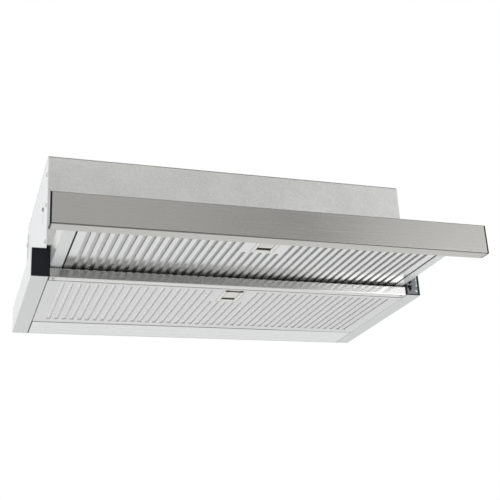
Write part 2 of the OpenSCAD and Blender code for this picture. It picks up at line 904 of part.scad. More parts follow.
module impeller() {
    color([0.30, 0.31, 0.33]) translate([0, fan_y, fan_z]) {
        cyl_x(fan_x0, fan_x0 + fan_disc_t, fan_r);
        cyl_x(fan_x0 + fan_disc_t, fan_x0 + fan_disc_t + hub_l, shaft_d / 2 + hub_wall);
        rotate([90, 0, 90]) {
            translate([0, 0, fan_x0 + fan_disc_t / 2]) linear_extrude(fan_w - fan_disc_t)
                for (i = [0:fan_blades - 1]) rotate(i * 360 / fan_blades) blade();
            translate([0, 0, fan_x0 + fan_w - fan_disc_t]) difference() {
                cylinder(r = fan_r, h = fan_disc_t, $fn = 96);
                translate([0, 0, -1]) cylinder(r = fan_r - fan_ring_w, h = fan_disc_t + 2, $fn = 96);
            }
        }
        cyl_x(fan_x0 + fan_disc_t, motor_x + motor_l - 4, shaft_d / 2);
    }
}

module right_impeller() {
    impeller();
}

module left_impeller() {
    mirror([1, 0, 0]) impeller();
}

// ---------------------------------------------------------------- outlet

module outlet_collar() {
    base = body_h;
    color([0.20, 0.20, 0.22]) translate([0, -outlet_y, 0]) difference() {
        union() {
            translate([0, 0, base]) cylinder(r = collar_r + 12, h = collar_flange_t, $fn = 128);
            translate([0, 0, base]) cylinder(r = collar_r, h = collar_flange_t + collar_h, $fn = 128);
        }
        translate([0, 0, flap_z - 0.3]) cylinder(r = collar_r - collar_t, h = collar_h + 10, $fn = 128);
        // ledge that the flaps rest on
        translate([0, 0, base - 1]) cylinder(r = collar_r - collar_t - 3, h = collar_h, $fn = 128);
        block([-flap_axis_x - 3, -collar_r + collar_t, base - 1], [flap_axis_x + 3, collar_r - collar_t, flap_z + 5]);
        for (s = [-1, 1])
            translate([s * flap_axis_x, 0, flap_z + flap_t / 2])
                cyl_y(-collar_r - 1, collar_r + 1, flap_pin_r + pin_gap);
    }
}

module flap() {
    barrel = sqrt(flap_r * flap_r - flap_axis_x * flap_axis_x) - 1;
    color([0.35, 0.35, 0.37]) translate([0, -outlet_y, 0]) {
        intersection() {
            translate([0, 0, flap_z]) cylinder(r = flap_r, h = flap_t, $fn = 128);
            block([flap_axis_x, -flap_r, flap_z - 1], [flap_r, flap_r, flap_z + 3]);
        }
        translate([flap_axis_x, 0, flap_z + flap_t / 2]) {
            cyl_y(-barrel, barrel, flap_barrel_r);
            cyl_y(-collar_r + 0.2, collar_r - 0.2, flap_pin_r);
        }
    }
}

module right_flap() {
    flap();
}

module left_flap() {
    mirror([1, 0, 0]) flap();
}

// ---------------------------------------------------------------- electrics

module terminal_box() {
    y0 = gland_y - terminal_w / 2;
    z0 = top_z - terminal_h;
    color([0.85, 0.85, 0.83]) difference() {
        block([terminal_x, y0, z0], [terminal_x + terminal_l, y0 + terminal_w, top_z]);
        translate([gland_x, gland_y, top_z - gland_seat_h - 2]) cylinder(r = gland_r + 0.2, h = gland_seat_h + 6);
        for (i = [0:3])
            translate([terminal_x + vent_w + vent_pitch * i, y0 - 1, z0 + terminal_h / 6])
                cube([vent_w, 4, vent_h]);
    }
}

module cable_gland() {
    color(black) translate([gland_x, gland_y, 0]) difference() {
        union() {
            translate([0, 0, top_z - gland_seat_h]) cylinder(r = gland_r, h = gland_seat_h + sheet_t);
            translate([0, 0, body_h]) cylinder(r = gland_nut_r, h = gland_nut_h, $fn = 6);
            translate([0, 0, body_h + gland_nut_h]) cylinder(r = gland_head_r, h = gland_head_h);
        }
        translate([0, 0, top_z - gland_seat_h - 1]) cylinder(r = cable_r, h = gland_top - top_z + gland_seat_h + 2);
    }
}

module capacitor() {
    color([0.88, 0.88, 0.86]) translate([cap_can_x, cap_can_y, 0]) {
        translate([0, 0, top_z - cap_can_h]) cylinder(r = cap_can_r, h = cap_can_h);
        translate([0, 0, top_z]) cylinder(r = stud_r, h = stud_h);
        translate([0, 0, body_h]) cylinder(r = stud_nut_r, h = stud_nut_h, $fn = 6);
    }
}

// ---------------------------------------------------------------- slides

module slide_bracket() {
    m = bracket_t / 2;
    color(galvanised) along_y(front_y + front_fold_d + 8, rail_y0 + rail_l - 4) folded([
        [bracket_x + m, rail_z0 + 1],
        [bracket_x + m, bracket_top + m],
        [box_half - sheet_t - m, bracket_top + m],
        [box_half - sheet_t - m, bracket_top + bracket_flange_h]
    ], bracket_t);
}

module fixed_rail() {
    m = rail_t / 2;
    x1 = rail_x + rail_w - m;
    color([0.72, 0.73, 0.75]) along_y(rail_y0, rail_y0 + rail_l) folded([
        [x1, race_lo + rail_lip],
        [x1, rail_z0 + m],
        [rail_x + m, rail_z0 + m],
        [rail_x + m, rail_z1 - m],
        [x1, rail_z1 - m],
        [x1, race_hi - rail_lip]
    ], rail_t, 0.6);
}

module moving_rail() {
    m = rail_t / 2;
    color([0.72, 0.73, 0.75]) along_y(inner_y0, inner_y1) folded([
        [inner_x0, inner_lo + m],
        [inner_x1 - m, inner_lo + m],
        [inner_x1 - m, inner_hi - m],
        [inner_x0, inner_hi - m]
    ], rail_t, 0.6);
}

module ball_cage() {
    m = cage_t / 2;
    lo = race_lo + ball_space / 2;
    hi = race_hi - ball_space / 2;
    step = (cage_l - 8) / (balls - 1);
    color([0.60, 0.52, 0.30]) {
        along_y(cage_y0, cage_y0 + cage_l) folded([
            [cage_x + cage_w, lo],
            [cage_x + m, lo],
            [cage_x + m, hi],
            [cage_x + cage_w, hi]
        ], cage_t, 0.4);
        for (i = [0:balls - 1], z = [lo, hi])
            translate([ball_x, cage_y0 + 4 + i * step, z]) sphere(d = ball_d);
    }
}

module right_slide_bracket() {
    slide_bracket();
}

module left_slide_bracket() {
    mirror([1, 0, 0]) slide_bracket();
}

module right_fixed_rail() {
    fixed_rail();
}

module left_fixed_rail() {
    mirror([1, 0, 0]) fixed_rail();
}

module right_moving_rail() {
    moving_rail();
}

module left_moving_rail() {
    mirror([1, 0, 0]) moving_rail();
}

module right_ball_cage() {
    ball_cage();
}

module left_ball_cage() {
    mirror([1, 0, 0]) ball_cage();
}

// ---------------------------------------------------------------- tray and front panel

// folded side member; its inner lip ends in a seat above the filter, clear of the cross members
module tray_side() {
    m = sheet_t / 2;
    color(white_sheet) {
        along_y(rear_y, tray_y1) folded([
            [lip_x + m, seat_z + m],
            [lip_x + m, tray_z + m],
            [tray_half - m, tray_z + m],
            [tray_half - m, tray_top]
        ], sheet_t);
        block([lip_x - seat_w, rear_y + 2 * sheet_t, seat_z], [lip_x + sheet_t, tray_y1 - 2 * sheet_t, seat_z + sheet_t]);
    }
}

module right_tray_side() {
    tray_side();
}

module left_tray_side() {
    mirror([1, 0, 0]) tray_side();
}

module tray_front_rail() {
    m = sheet_t / 2;
    color(galvanised) difference() {
        along_x(-lip_x, lip_x) folded([
            [rear_y + front_rail_d, tray_z + m],
            [rear_y + m, tray_z + m],
            [rear_y + m, panel_z1 - 2]
        ], sheet_t);
        for (x = [-1, 1] * tray_screw_x, z = tray_screw_zs)
            translate([x, 0, z]) cyl_y(rear_y - 1, rear_y + 2, screw_d / 2 + screw_gap);
    }
}

module tray_rear_rail() {
    m = sheet_t / 2;
    color(galvanised) along_x(-lip_x, lip_x) folded([
        [tray_y1 - rear_rail_d, tray_z + m],
        [tray_y1 - m, tray_z + m],
        [tray_y1 - m, tray_z + rear_rail_h]
    ], sheet_t);
}

module front_panel() {
    m = sheet_t / 2;
    color(steel) along_x(-skin_half, skin_half) folded([
        [rear_y, panel_z0 + m],
        [face_y + m, panel_z0 + m],
        [face_y + m, panel_z1 - m],
        [rear_y, panel_z1 - m]
    ], sheet_t);
}

module front_panel_back() {
    color(galvanised) difference() {
        block([-skin_half, rear_y - sheet_t, panel_z0 + sheet_t], [skin_half, rear_y, panel_z1 - sheet_t]);
        for (x = [-1, 1] * tray_screw_x, z = tray_screw_zs)
            translate([x, 0, z]) cyl_y(rear_y - 3, rear_y + 1, screw_d / 2 + screw_gap);
    }
}

module end_cap() {
    wall = 1.6;
    fit = sheet_t + plug_gap;
    color(black) {
        along_x(skin_half, panel_half) rounded([face_y, panel_z0], [rear_y, panel_z1], bend_r + sheet_t);
        along_x(skin_half - end_plug_d, skin_half) difference() {
            rounded([face_y + fit, panel_z0 + fit], [rear_y - fit, panel_z1 - fit], bend_r);
            translate([face_y + fit + wall, panel_z0 + fit + wall])
                square([panel_lip - 2 * (fit + wall), panel_h - 2 * (fit + wall)]);
        }
    }
}

module right_end_cap() {
    end_cap();
}

module left_end_cap() {
    mirror([1, 0, 0]) end_cap();
}

// ---------------------------------------------------------------- grease filters

// slots of a filter that reaches half to both sides, from its front edge at y0 to y1
module slots(half, y0, y1, w) {
    count = floor((half - slot_side - slot_w / 2) / slot_pitch);
    edge = (w - slot_w) / 2;
    for (k = [-count:count])
        rounded([k * slot_pitch - w / 2, y0 + (abs(k) <= latch_slots ? latch_zone : slot_front) - edge],
            [k * slot_pitch + w / 2, y1 - slot_rear + edge], slot_r + edge);
}

module slotted_face(half, y0, y1) {
    difference() {
        translate([-half, y0]) square([2 * half, y1 - y0]);
        slots(half, y0, y1, slot_w);
        translate([-latch_w / 2 - plug_gap, y0 + latch_edge - plug_gap])
            square([latch_w + 2 * plug_gap, latch_l + 2 * plug_gap]);
    }
}

// shallow tray with a slotted bottom and a notch for the latch tongue
module filter_cover(half, y0, y1, z0) {
    translate([0, 0, z0]) {
        linear_extrude(sheet_t) slotted_face(half, y0, y1);
        linear_extrude(sheet_t + slot_rim_h) difference() {
            slots(half, y0, y1, slot_w + 2 * slot_rim_t);
            slots(half, y0, y1, slot_w);
        }
        difference() {
            block([-half, y0, 0], [half, y1, filter_h]);
            block([-half + sheet_t, y0 + sheet_t, -1], [half - sheet_t, y1 - sheet_t, filter_h + 1]);
            block([-tongue_w / 2 - 0.5, y0 - 1, tongue_z - 0.3], [tongue_w / 2 + 0.5, y0 + 2, tongue_z + tongue_t + 0.5]);
        }
    }
}

// room of the latch inside a filter
module latch_room(y0, z0, z1) {
    block([-latch_w / 2 - 2.5, y0, z0], [latch_w / 2 + 2.5, y0 + latch_edge + latch_l + 2, z1]);
}

module filter_mesh(half, y0, y1, z0) {
    edge = sheet_t + plug_gap;
    z = z0 + sheet_t + slot_rim_h;
    color([0.62, 0.62, 0.61]) difference() {
        block([-half + edge, y0 + edge, z], [half - edge, y1 - edge, z + mesh_t]);
        latch_room(y0, z0, z0 + filter_h);
    }
}

// rear sheet with large windows between narrow bars
module filter_back(half, y0, y1, z0) {
    edge = sheet_t + plug_gap;
    z = z0 + sheet_t + slot_rim_h + mesh_t;
    columns = 8;
    rows = 3;
    bar = 8;
    step_x = 2 * (half - edge - bar) / columns;
    step_y = (y1 - y0 - 2 * edge - 2 * bar) / rows;
    color(aluminium) difference() {
        block([-half + edge, y0 + edge, z], [half - edge, y1 - edge, z + sheet_t]);
        for (i = [0:columns - 1], j = [0:rows - 1])
            translate([-half + edge + bar + (i + 0.5) * step_x, y0 + edge + bar + (j + 0.5) * step_y, z])
                cube([step_x - bar, step_y - bar, 4 * sheet_t], center = true);
        latch_room(y0, z0, z0 + filter_h);
    }
}

// plate flush with the cover, with a box above it in which the slide runs
module latch_plate(y0, z0) {
    rear = y0 + latch_edge + latch_l;
    half = slide_w / 2 + 0.4;
    color(ivory) translate([0, rear, z0]) difference() {
        union() {
            block([-latch_w / 2, -latch_l, 0], [latch_w / 2, 0, sheet_t]);
            block([-latch_w / 2 - 2, -latch_l, sheet_t], [latch_w / 2 + 2, 1.5, 2 * sheet_t]);
            block([-latch_w / 2 + 1, -latch_l + 1, sheet_t], [latch_w / 2 - 1, -1, latch_box_h]);
        }
        block([-half, -pocket_front, -1], [half, -pocket_rear, latch_box_h - 1]);
        block([-latch_w / 2 + 2.5, -window_front, -1], [latch_w / 2 - 2.5, -window_rear, latch_box_h - 1]);
        block([-tongue_w / 2 - 0.4, -latch_l - 1, tongue_z - 0.3], [tongue_w / 2 + 0.4, -pocket_front + 1, tongue_z + tongue_t + 0.4]);
    }
}

// thumb slide with grip ribs and a tongue that reaches past the filter's front edge
module latch_slide(y0, z0, reach) {
    rear = y0 + latch_edge + latch_l;
    color(ivory) translate([0, rear, z0]) {
        difference() {
            block([-slide_w / 2, -slide_front, 0.2], [slide_w / 2, -slide_rear, tongue_z + tongue_t]);
            for (i = [0:4])
                block([-slide_w / 2 + 2, -slide_front + 4 + 3.4 * i, -1],
                    [slide_w / 2 - 2, -slide_front + 5.4 + 3.4 * i, 0.7]);
        }
        block([-tongue_w / 2, -latch_l - latch_edge - reach, tongue_z], [tongue_w / 2, -slide_front, tongue_z + tongue_t]);
    }
}

module tray_filter_cover() {
    color(aluminium) {
        filter_cover(tray_filter_half, tray_filter_y0, tray_filter_y1, tray_z);
        // tabs that hold the rear edge up on the cross member
        for (x = [-1, 1] * (tray_filter_half - tab_inset))
            block([x - tab_w / 2, tray_filter_y1, tray_z + sheet_t + tab_gap],
                [x + tab_w / 2, tray_filter_y1 + tab_l, tray_z + 2 * sheet_t + tab_gap]);
    }
}

module tray_filter_mesh() {
    filter_mesh(tray_filter_half, tray_filter_y0, tray_filter_y1, tray_z);
}

module tray_filter_back() {
    filter_back(tray_filter_half, tray_filter_y0, tray_filter_y1, tray_z);
}

module tray_latch_plate() {
    latch_plate(tray_filter_y0, tray_z);
}

module tray_latch() {
    latch_slide(tray_filter_y0, tray_z, tongue_reach);
}

module fixed_filter_cover() {
    color(aluminium) {
        filter_cover(fixed_half, fixed_y0, fixed_y1, 0);
        // hinge pins
        for (s = [0, 1]) mirror([s, 0, 0])
            translate([0, hinge_y, hinge_z]) cyl_x(fixed_half - sheet_t / 2, seam_x + sheet_t + 1, hinge_d / 2);
    }
}

module fixed_filter_mesh() {
    filter_mesh(fixed_half, fixed_y0, fixed_y1, 0);
}

module fixed_filter_back() {
    filter_back(fixed_half, fixed_y0, fixed_y1, 0);
}

module fixed_latch_plate() {
    latch_plate(fixed_y0, 0);
}

// this tongue stops just short of the strip's flange, so that the filter can swing
module fixed_latch() {
    latch_slide(fixed_y0, 0, fixed_y0 - front_y - strip_flange_d - 0.3);
}

// ---------------------------------------------------------------- fasteners

module body_screws() {
    color([0.70, 0.71, 0.72]) {
        for (p = top_screws)
            translate([p[0], p[1], body_h]) screw(screw_l);
        for (s = [0, 1], z = back_screw_zs) mirror([s, 0, 0])
            translate([box_half + (z > back_tab_z0 ? sheet_t : 0), back_screw_y, z]) rotate([0, 90, 0]) screw(screw_l);
        for (s = [0, 1], z = rivet_zs) mirror([s, 0, 0])
            translate([box_half, rivet_y, z]) rotate([0, 90, 0]) screw(screw_l);
        for (s = [-1, 1])
            translate([s * lug_x, lug_y, 0]) rotate([180, 0, 0]) screw(lug_h - 1);
    }
}

module tray_screws() {
    color([0.70, 0.71, 0.72])
        for (x = [-1, 1] * tray_screw_x, z = tray_screw_zs)
            translate([x, rear_y - sheet_t, z]) rotate([90, 0, 0]) screw(tray_screw_l);
}

left_side_panel();
right_side_panel();
back_panel();
upper_front_panel();
top_panel();
front_strip();
left_corner_cap();
control_bezel();
control_plate();
switch_block();
speed_slider();
light_slider();
light_panel();
lamp_housing();
lamp_diffuser();
led_board();
blower_housing();
left_inlet_plate();
right_inlet_plate();
left_motor();
right_motor();
left_motor_bracket();
right_motor_bracket();
left_impeller();
right_impeller();
outlet_collar();
left_flap();
right_flap();
terminal_box();
capacitor();
cable_gland();
left_slide_bracket();
right_slide_bracket();
left_fixed_rail();
right_fixed_rail();
left_ball_cage();
right_ball_cage();
left_moving_rail();
right_moving_rail();
left_tray_side();
right_tray_side();
tray_front_rail();
tray_rear_rail();
front_panel();
front_panel_back();
left_end_cap();
right_end_cap();
tray_filter_cover();
tray_filter_mesh();
tray_filter_back();
tray_latch_plate();
tray_latch();
fixed_filter_cover();
fixed_filter_mesh();
fixed_filter_back();
fixed_latch_plate();
fixed_latch();
body_screws();
tray_screws();
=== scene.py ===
import json
from math import pi, radians

import bmesh
import bpy
from mathutils import Matrix, Vector, noise

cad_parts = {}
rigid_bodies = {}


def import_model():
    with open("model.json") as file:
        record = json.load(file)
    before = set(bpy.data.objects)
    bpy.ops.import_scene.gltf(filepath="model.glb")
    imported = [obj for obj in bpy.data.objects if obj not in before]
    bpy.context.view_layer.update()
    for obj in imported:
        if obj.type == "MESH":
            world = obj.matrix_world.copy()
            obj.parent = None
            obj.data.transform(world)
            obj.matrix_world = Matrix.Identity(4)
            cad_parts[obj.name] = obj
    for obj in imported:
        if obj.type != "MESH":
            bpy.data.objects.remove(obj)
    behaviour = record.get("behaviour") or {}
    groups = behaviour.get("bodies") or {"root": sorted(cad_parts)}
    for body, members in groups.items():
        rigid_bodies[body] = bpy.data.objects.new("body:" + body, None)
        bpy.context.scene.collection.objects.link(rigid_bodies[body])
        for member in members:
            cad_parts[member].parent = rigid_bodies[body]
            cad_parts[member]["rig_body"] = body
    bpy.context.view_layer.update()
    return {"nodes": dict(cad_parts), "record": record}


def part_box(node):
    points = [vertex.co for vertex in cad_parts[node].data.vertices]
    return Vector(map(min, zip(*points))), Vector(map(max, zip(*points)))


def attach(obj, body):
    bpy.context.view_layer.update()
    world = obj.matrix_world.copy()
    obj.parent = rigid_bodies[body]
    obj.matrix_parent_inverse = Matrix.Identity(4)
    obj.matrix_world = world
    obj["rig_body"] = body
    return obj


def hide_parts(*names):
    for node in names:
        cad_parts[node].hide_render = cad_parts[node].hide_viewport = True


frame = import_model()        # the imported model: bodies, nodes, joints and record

nodes = frame["nodes"]
scene = bpy.context.scene
scene.view_settings.view_transform = "Standard"
mm = 0.001
print("frame loaded,", len(nodes), "CAD nodes")


# helpers for node trees

def put(tree, kind, settings=None, **sockets):
    # a node with its settings, and each socket either linked or set
    node = tree.nodes.new(kind)
    for name, value in (settings or {}).items():
        setattr(node, name, value)
    for name, value in sockets.items():
        plug(tree, node.inputs[name.replace("_", " ")], value)
    return node


def plug(tree, socket, value):
    if isinstance(value, bpy.types.NodeSocket):
        tree.links.new(value, socket)
    else:
        socket.default_value = value


def mathNode(tree, operation, a, b=0.5, clamp=False):
    node = put(tree, "ShaderNodeMath", {"operation": operation, "use_clamp": clamp})
    plug(tree, node.inputs[0], a)
    plug(tree, node.inputs[1], b)
    return node.outputs[0]


def mapRange(tree, value, low, high, toLow=0.0, toHigh=1.0):
    node = put(tree, "ShaderNodeMapRange", {"interpolation_type": "SMOOTHSTEP"}, Value=value)
    node.inputs["From Min"].default_value = low
    node.inputs["From Max"].default_value = high
    node.inputs["To Min"].default_value = toLow
    node.inputs["To Max"].default_value = toHigh
    return node.outputs[0]


def mixColour(tree, factor, a, b):
    node = put(tree, "ShaderNodeMix", {"data_type": "RGBA"})
    plug(tree, node.inputs[0], factor)
    plug(tree, node.inputs[6], a)
    plug(tree, node.inputs[7], b)
    return node.outputs[2]


def newGroup(name, inputs, outputs):
    tree = bpy.data.node_groups.new(name, "ShaderNodeTree")
    kinds = {"vector": "NodeSocketVector", "float": "NodeSocketFloat"}
    for label, kind, value in inputs:
        socket = tree.interface.new_socket(label, in_out="INPUT", socket_type=kinds[kind])
        socket.default_value = value
    for label in outputs:
        tree.interface.new_socket(label, in_out="OUTPUT", socket_type="NodeSocketFloat")
    return tree, tree.nodes.new("NodeGroupInput"), tree.nodes.new("NodeGroupOutput")


def useGroup(tree, group, **sockets):
    return put(tree, "ShaderNodeGroup", {"node_tree": group}, **sockets)


# effects shared by several finishes

def makeBrushedGroup():
    # hair lines: noise drawn out along one axis; Stretch is in waves per metre
    tree, inp, out = newGroup("brushed_lines", [
        ("Vector", "vector", (0, 0, 0)), ("Stretch", "vector", (8, 900, 900))], ["Lines", "Bands"])
    placed = put(tree, "ShaderNodeMapping", Vector=inp.outputs["Vector"], Scale=inp.outputs["Stretch"])
    fine = put(tree, "ShaderNodeTexNoise", Vector=placed.outputs[0], Scale=1.0, Detail=4.0, Roughness=0.65)
    broadPlace = put(tree, "ShaderNodeVectorMath", {"operation": "SCALE"}, Scale=0.12)
    tree.links.new(placed.outputs[0], broadPlace.inputs[0])
    broad = put(tree, "ShaderNodeTexNoise", Vector=broadPlace.outputs[0], Scale=1.0, Detail=2.0, Roughness=0.5)
    tree.links.new(fine.outputs["Fac"], out.inputs["Lines"])
    tree.links.new(broad.outputs["Fac"], out.inputs["Bands"])
    return tree


def makeSpangleGroup():
    # zinc crystals: uneven cells, each with its own tone
    tree, inp, out = newGroup("zinc_spangle", [
        ("Vector", "vector", (0, 0, 0)), ("Density", "float", 140.0)], ["Tone"])
    wobble = put(tree, "ShaderNodeTexNoise", Vector=inp.outputs["Vector"], Scale=320.0, Detail=3.0)
    shift = put(tree, "ShaderNodeVectorMath", {"operation": "MULTIPLY_ADD"})
    tree.links.new(wobble.outputs["Color"], shift.inputs[0])
    shift.inputs[1].default_value = (0.006, 0.006, 0.006)
    tree.links.new(inp.outputs["Vector"], shift.inputs[2])
    cells = put(tree, "ShaderNodeTexVoronoi", Vector=shift.outputs[0], Scale=inp.outputs["Density"])
    parts = put(tree, "ShaderNodeSeparateColor", Color=cells.outputs["Color"])
    fine = put(tree, "ShaderNodeTexNoise", Vector=inp.outputs["Vector"], Scale=900.0, Detail=2.0)
    tone = mathNode(tree, "MULTIPLY_ADD", parts.outputs[0], 0.7)
    tree.links.new(mathNode(tree, "MULTIPLY", fine.outputs["Fac"], 0.3), tone.node.inputs[2])
    tree.links.new(tone, out.inputs["Tone"])
    return tree


def makeGrainGroup():
    # the fine texture of a moulding or of powder coat
    tree, inp, out = newGroup("fine_grain", [
        ("Vector", "vector", (0, 0, 0)), ("Density", "float", 1500.0)], ["Grain", "Patches"])
    place = inp.outputs["Vector"]
    fine = put(tree, "ShaderNodeTexNoise", Vector=place, Scale=inp.outputs["Density"], Detail=2.0)
    patches = put(tree, "ShaderNodeTexNoise", Vector=place, Scale=14.0, Detail=4.0, Roughness=0.6)
    tree.links.new(fine.outputs["Fac"], out.inputs["Grain"])
    tree.links.new(patches.outputs["Fac"], out.inputs["Patches"])
    return tree


def makeWaveGroup():
    # thin sheet is never quite flat: broad soft waves
    tree, inp, out = newGroup("sheet_waves", [
        ("Vector", "vector", (0, 0, 0)), ("Density", "float", 9.0)], ["Height"])
    waves = put(tree, "ShaderNodeTexNoise", Vector=inp.outputs["Vector"], Scale=inp.outputs["Density"],
                Detail=1.0)
    tree.links.new(waves.outputs["Fac"], out.inputs["Height"])
    return tree


def makeExpandedGroup():
    # expanded metal: two sets of slanting strands over each other
    tree, inp, out = newGroup("expanded_mesh", [
        ("Vector", "vector", (0, 0, 0)), ("Cell", "float", 0.004)], ["Strand"])
    wobble = put(tree, "ShaderNodeTexNoise", Vector=inp.outputs["Vector"], Scale=60.0, Detail=2.0)
    bent = put(tree, "ShaderNodeVectorMath", {"operation": "MULTIPLY_ADD"})
    tree.links.new(wobble.outputs["Color"], bent.inputs[0])
    bent.inputs[1].default_value = (0.0022, 0.0022, 0)
    tree.links.new(inp.outputs["Vector"], bent.inputs[2])
    parts = put(tree, "ShaderNodeSeparateXYZ", Vector=bent.outputs[0])
    heights = []
    for lean in (0.5, -0.5):
        slant = mathNode(tree, "MULTIPLY_ADD", parts.outputs["X"], lean)
        tree.links.new(parts.outputs["Y"], slant.node.inputs[2])
        turns = mathNode(tree, "DIVIDE", slant, inp.outputs["Cell"])
        wave = mathNode(tree, "SINE", mathNode(tree, "MULTIPLY", turns, 2 * pi))
        heights.append(mathNode(tree, "ABSOLUTE", wave))
    strand = mathNode(tree, "MINIMUM", heights[0], heights[1])
    tree.links.new(mapRange(tree, strand, 0.25, 0.55, 1.0, 0.0), out.inputs["Strand"])
    return tree


def makeRecessShadeGroup():
    # how deep a point lies above the underside, for walls of slots and gaps and for pockets: where painted
    # shade goes
    tree, inp, out = newGroup("recess_painted_shade", [
        ("Vector", "vector", (0, 0, 0)), ("Normal", "vector", (0, 0, 1)), ("Base", "float", 0.0),
        ("Start", "float", 0.0003), ("End", "float", 0.002), ("Half Width", "float", 1.0),
        ("Top", "float", 1.0)], ["Sides", "Walls", "All"])
    place = put(tree, "ShaderNodeSeparateXYZ", Vector=inp.outputs["Vector"])
    facing = put(tree, "ShaderNodeSeparateXYZ", Vector=inp.outputs["Normal"])
    height = mathNode(tree, "SUBTRACT", place.outputs["Z"], inp.outputs["Base"])
    depth = put(tree, "ShaderNodeMapRange", Value=height,
                From_Min=inp.outputs["Start"], From_Max=inp.outputs["End"])
    upright = mapRange(tree, mathNode(tree, "ABSOLUTE", facing.outputs["Z"]), 0.3, 0.8, 1.0, 0.0)
    across = mathNode(tree, "ABSOLUTE", place.outputs["X"])
    inside = mathNode(tree, "LESS_THAN", across, inp.outputs["Half Width"])
    below = mathNode(tree, "LESS_THAN", height, inp.outputs["Top"])
    deep = mathNode(tree, "MULTIPLY", depth.outputs[0], mathNode(tree, "MULTIPLY", inside, below))
    sideways = mapRange(tree, mathNode(tree, "ABSOLUTE", facing.outputs["X"]), 0.4, 0.8)
    tree.links.new(mathNode(tree, "MULTIPLY", deep, sideways), out.inputs["Sides"])
    tree.links.new(mathNode(tree, "MULTIPLY", deep, upright), out.inputs["Walls"])
    tree.links.new(deep, out.inputs["All"])
    return tree


def makeSlotShadowGroup():
    # painted shadow where a pad passes behind the edges of the slots, which repeat along X
    tree, inp, out = newGroup("slot_edge_shadow", [
        ("Vector", "vector", (0, 0, 0)), ("Pitch", "float", 0.012), ("Half Slot", "float", 0.003),
        ("Soft", "float", 0.001)], ["Left", "Right"])
    place = put(tree, "ShaderNodeSeparateXYZ", Vector=inp.outputs["Vector"])
    turns = mathNode(tree, "DIVIDE", place.outputs["X"], inp.outputs["Pitch"])
    nearest = mathNode(tree, "ROUND", turns)
    across = mathNode(tree, "MULTIPLY", mathNode(tree, "SUBTRACT", turns, nearest), inp.outputs["Pitch"])
    limit = mathNode(tree, "SUBTRACT", inp.outputs["Half Slot"], inp.outputs["Soft"])
    for label, way in (("Left", -1.0), ("Right", 1.0)):
        reach = mathNode(tree, "MULTIPLY", across, way)
        edge = put(tree, "ShaderNodeMapRange", Value=reach, From_Min=limit, From_Max=inp.outputs["Half Slot"])
        tree.links.new(edge.outputs[0], out.inputs[label])
    return tree


groups = {
    "brushed": makeBrushedGroup(), "spangle": makeSpangleGroup(), "grain": makeGrainGroup(),
    "waves": makeWaveGroup(), "expanded": makeExpandedGroup(), "recess": makeRecessShadeGroup(),
    "slots": makeSlotShadowGroup(),
}
print("shared effects:", ", ".join(sorted(groups)))


# finishes

# dark colours: painted shade for the folds, bends, holes and the pad's rear end, and the dark of the joints
darkTones = {"fold": (0.12, 0.12, 0.115, 1), "bendShade": (0.05, 0.05, 0.052, 1), "joint": (0.13, 0.12, 0.10, 1),
             "hole": (0.05, 0.05, 0.05, 1), "soot": (0.03, 0.03, 0.028, 1)}
endless = 1000      # mm, past every face: the recess has no limit that way
trayZ = 16.7        # mm, underside of the tray and its filter; the fixed filter's is at 0
spotFade = 1.5      # mm over which a dark spot fades out
jointEdge, jointCore = 0.7, 0.2     # mm from the middle of a shaded joint
# noise keeps near 0.5, so it is stretched from one of these bands
narrow, middle, wide, patchy = (0.35, 0.65), (0.3, 0.7), (0.25, 0.75), (0.35, 0.75)
# how far the roughness of each kind of finish varies about its own value
roughSwing = {"brushed": (-0.04, 0.05), "zinc": (-0.07, 0.07), "grain": (-0.04, 0.06)}


def startFinish(name, look):
    # plain constants go straight to the shader's own sockets
    material = bpy.data.materials.new(name)
    material.use_nodes = True
    tree = material.node_tree
    shader = tree.nodes["Principled BSDF"]
    for label, value in look.get("shader", {}).items():
        shader.inputs[label].default_value = value
    material.diffuse_color = (*look["colour"], 1)
    place = put(tree, "ShaderNodeTexCoord").outputs["Object"]
    return material, tree, shader, place


def tint(colour, factor):
    return (*[min(1.0, c * factor) for c in colour], 1)


def swing(look, kind):
    return [look["roughness"] + change for change in roughSwing[kind]]


def recessShadeShare(tree, place, look):
    # how much painted shade lies at a point in a slot, gap or pocket
    recess = look["recess"]
    facing = place.node.outputs["Normal"]
    depth = useGroup(tree, groups["recess"], Vector=place, Normal=facing, Base=recess["base"] * mm,
                     Start=recess["start"] * mm, End=recess["end"] * mm,
                     Half_Width=recess.get("halfWidth", endless) * mm, Top=recess.get("top", endless) * mm)
    return mathNode(tree, "MULTIPLY", depth.outputs[recess["where"]], recess["amount"])


def paintRecessShade(tree, place, colour, look):
    # painted shade mixed into the colour in slots, gaps and pockets
    if "recess" not in look:
        return colour
    return mixColour(tree, recessShadeShare(tree, place, look), colour, (*look["recess"]["colour"], 1))


def addBumps(tree, shader, heights):
    # each height has its own depth in metres; they add up on the shader's Normal
    normal = None
    for height, depth in heights:
        bump = put(tree, "ShaderNodeBump", Height=height, Distance=depth, Strength=1.0)
        if normal:
            tree.links.new(normal, bump.inputs["Normal"])
        normal = bump.outputs[0]
    tree.links.new(normal, shader.inputs["Normal"])


def greyOuter(tree, place, colour, look):
    # the upright outer walls are darker than the flanges: partly the grey of galvanised sheet, partly painted
    # shade from the front panel
    if "outer" not in look:
        return colour
    facing = put(tree, "ShaderNodeSeparateXYZ", Vector=place.node.outputs["Normal"])
    share = mapRange(tree, mathNode(tree, "ABSOLUTE", facing.outputs["X"]), 0.4, 0.9)
    return mixColour(tree, share, colour, (*look["outer"], 1))


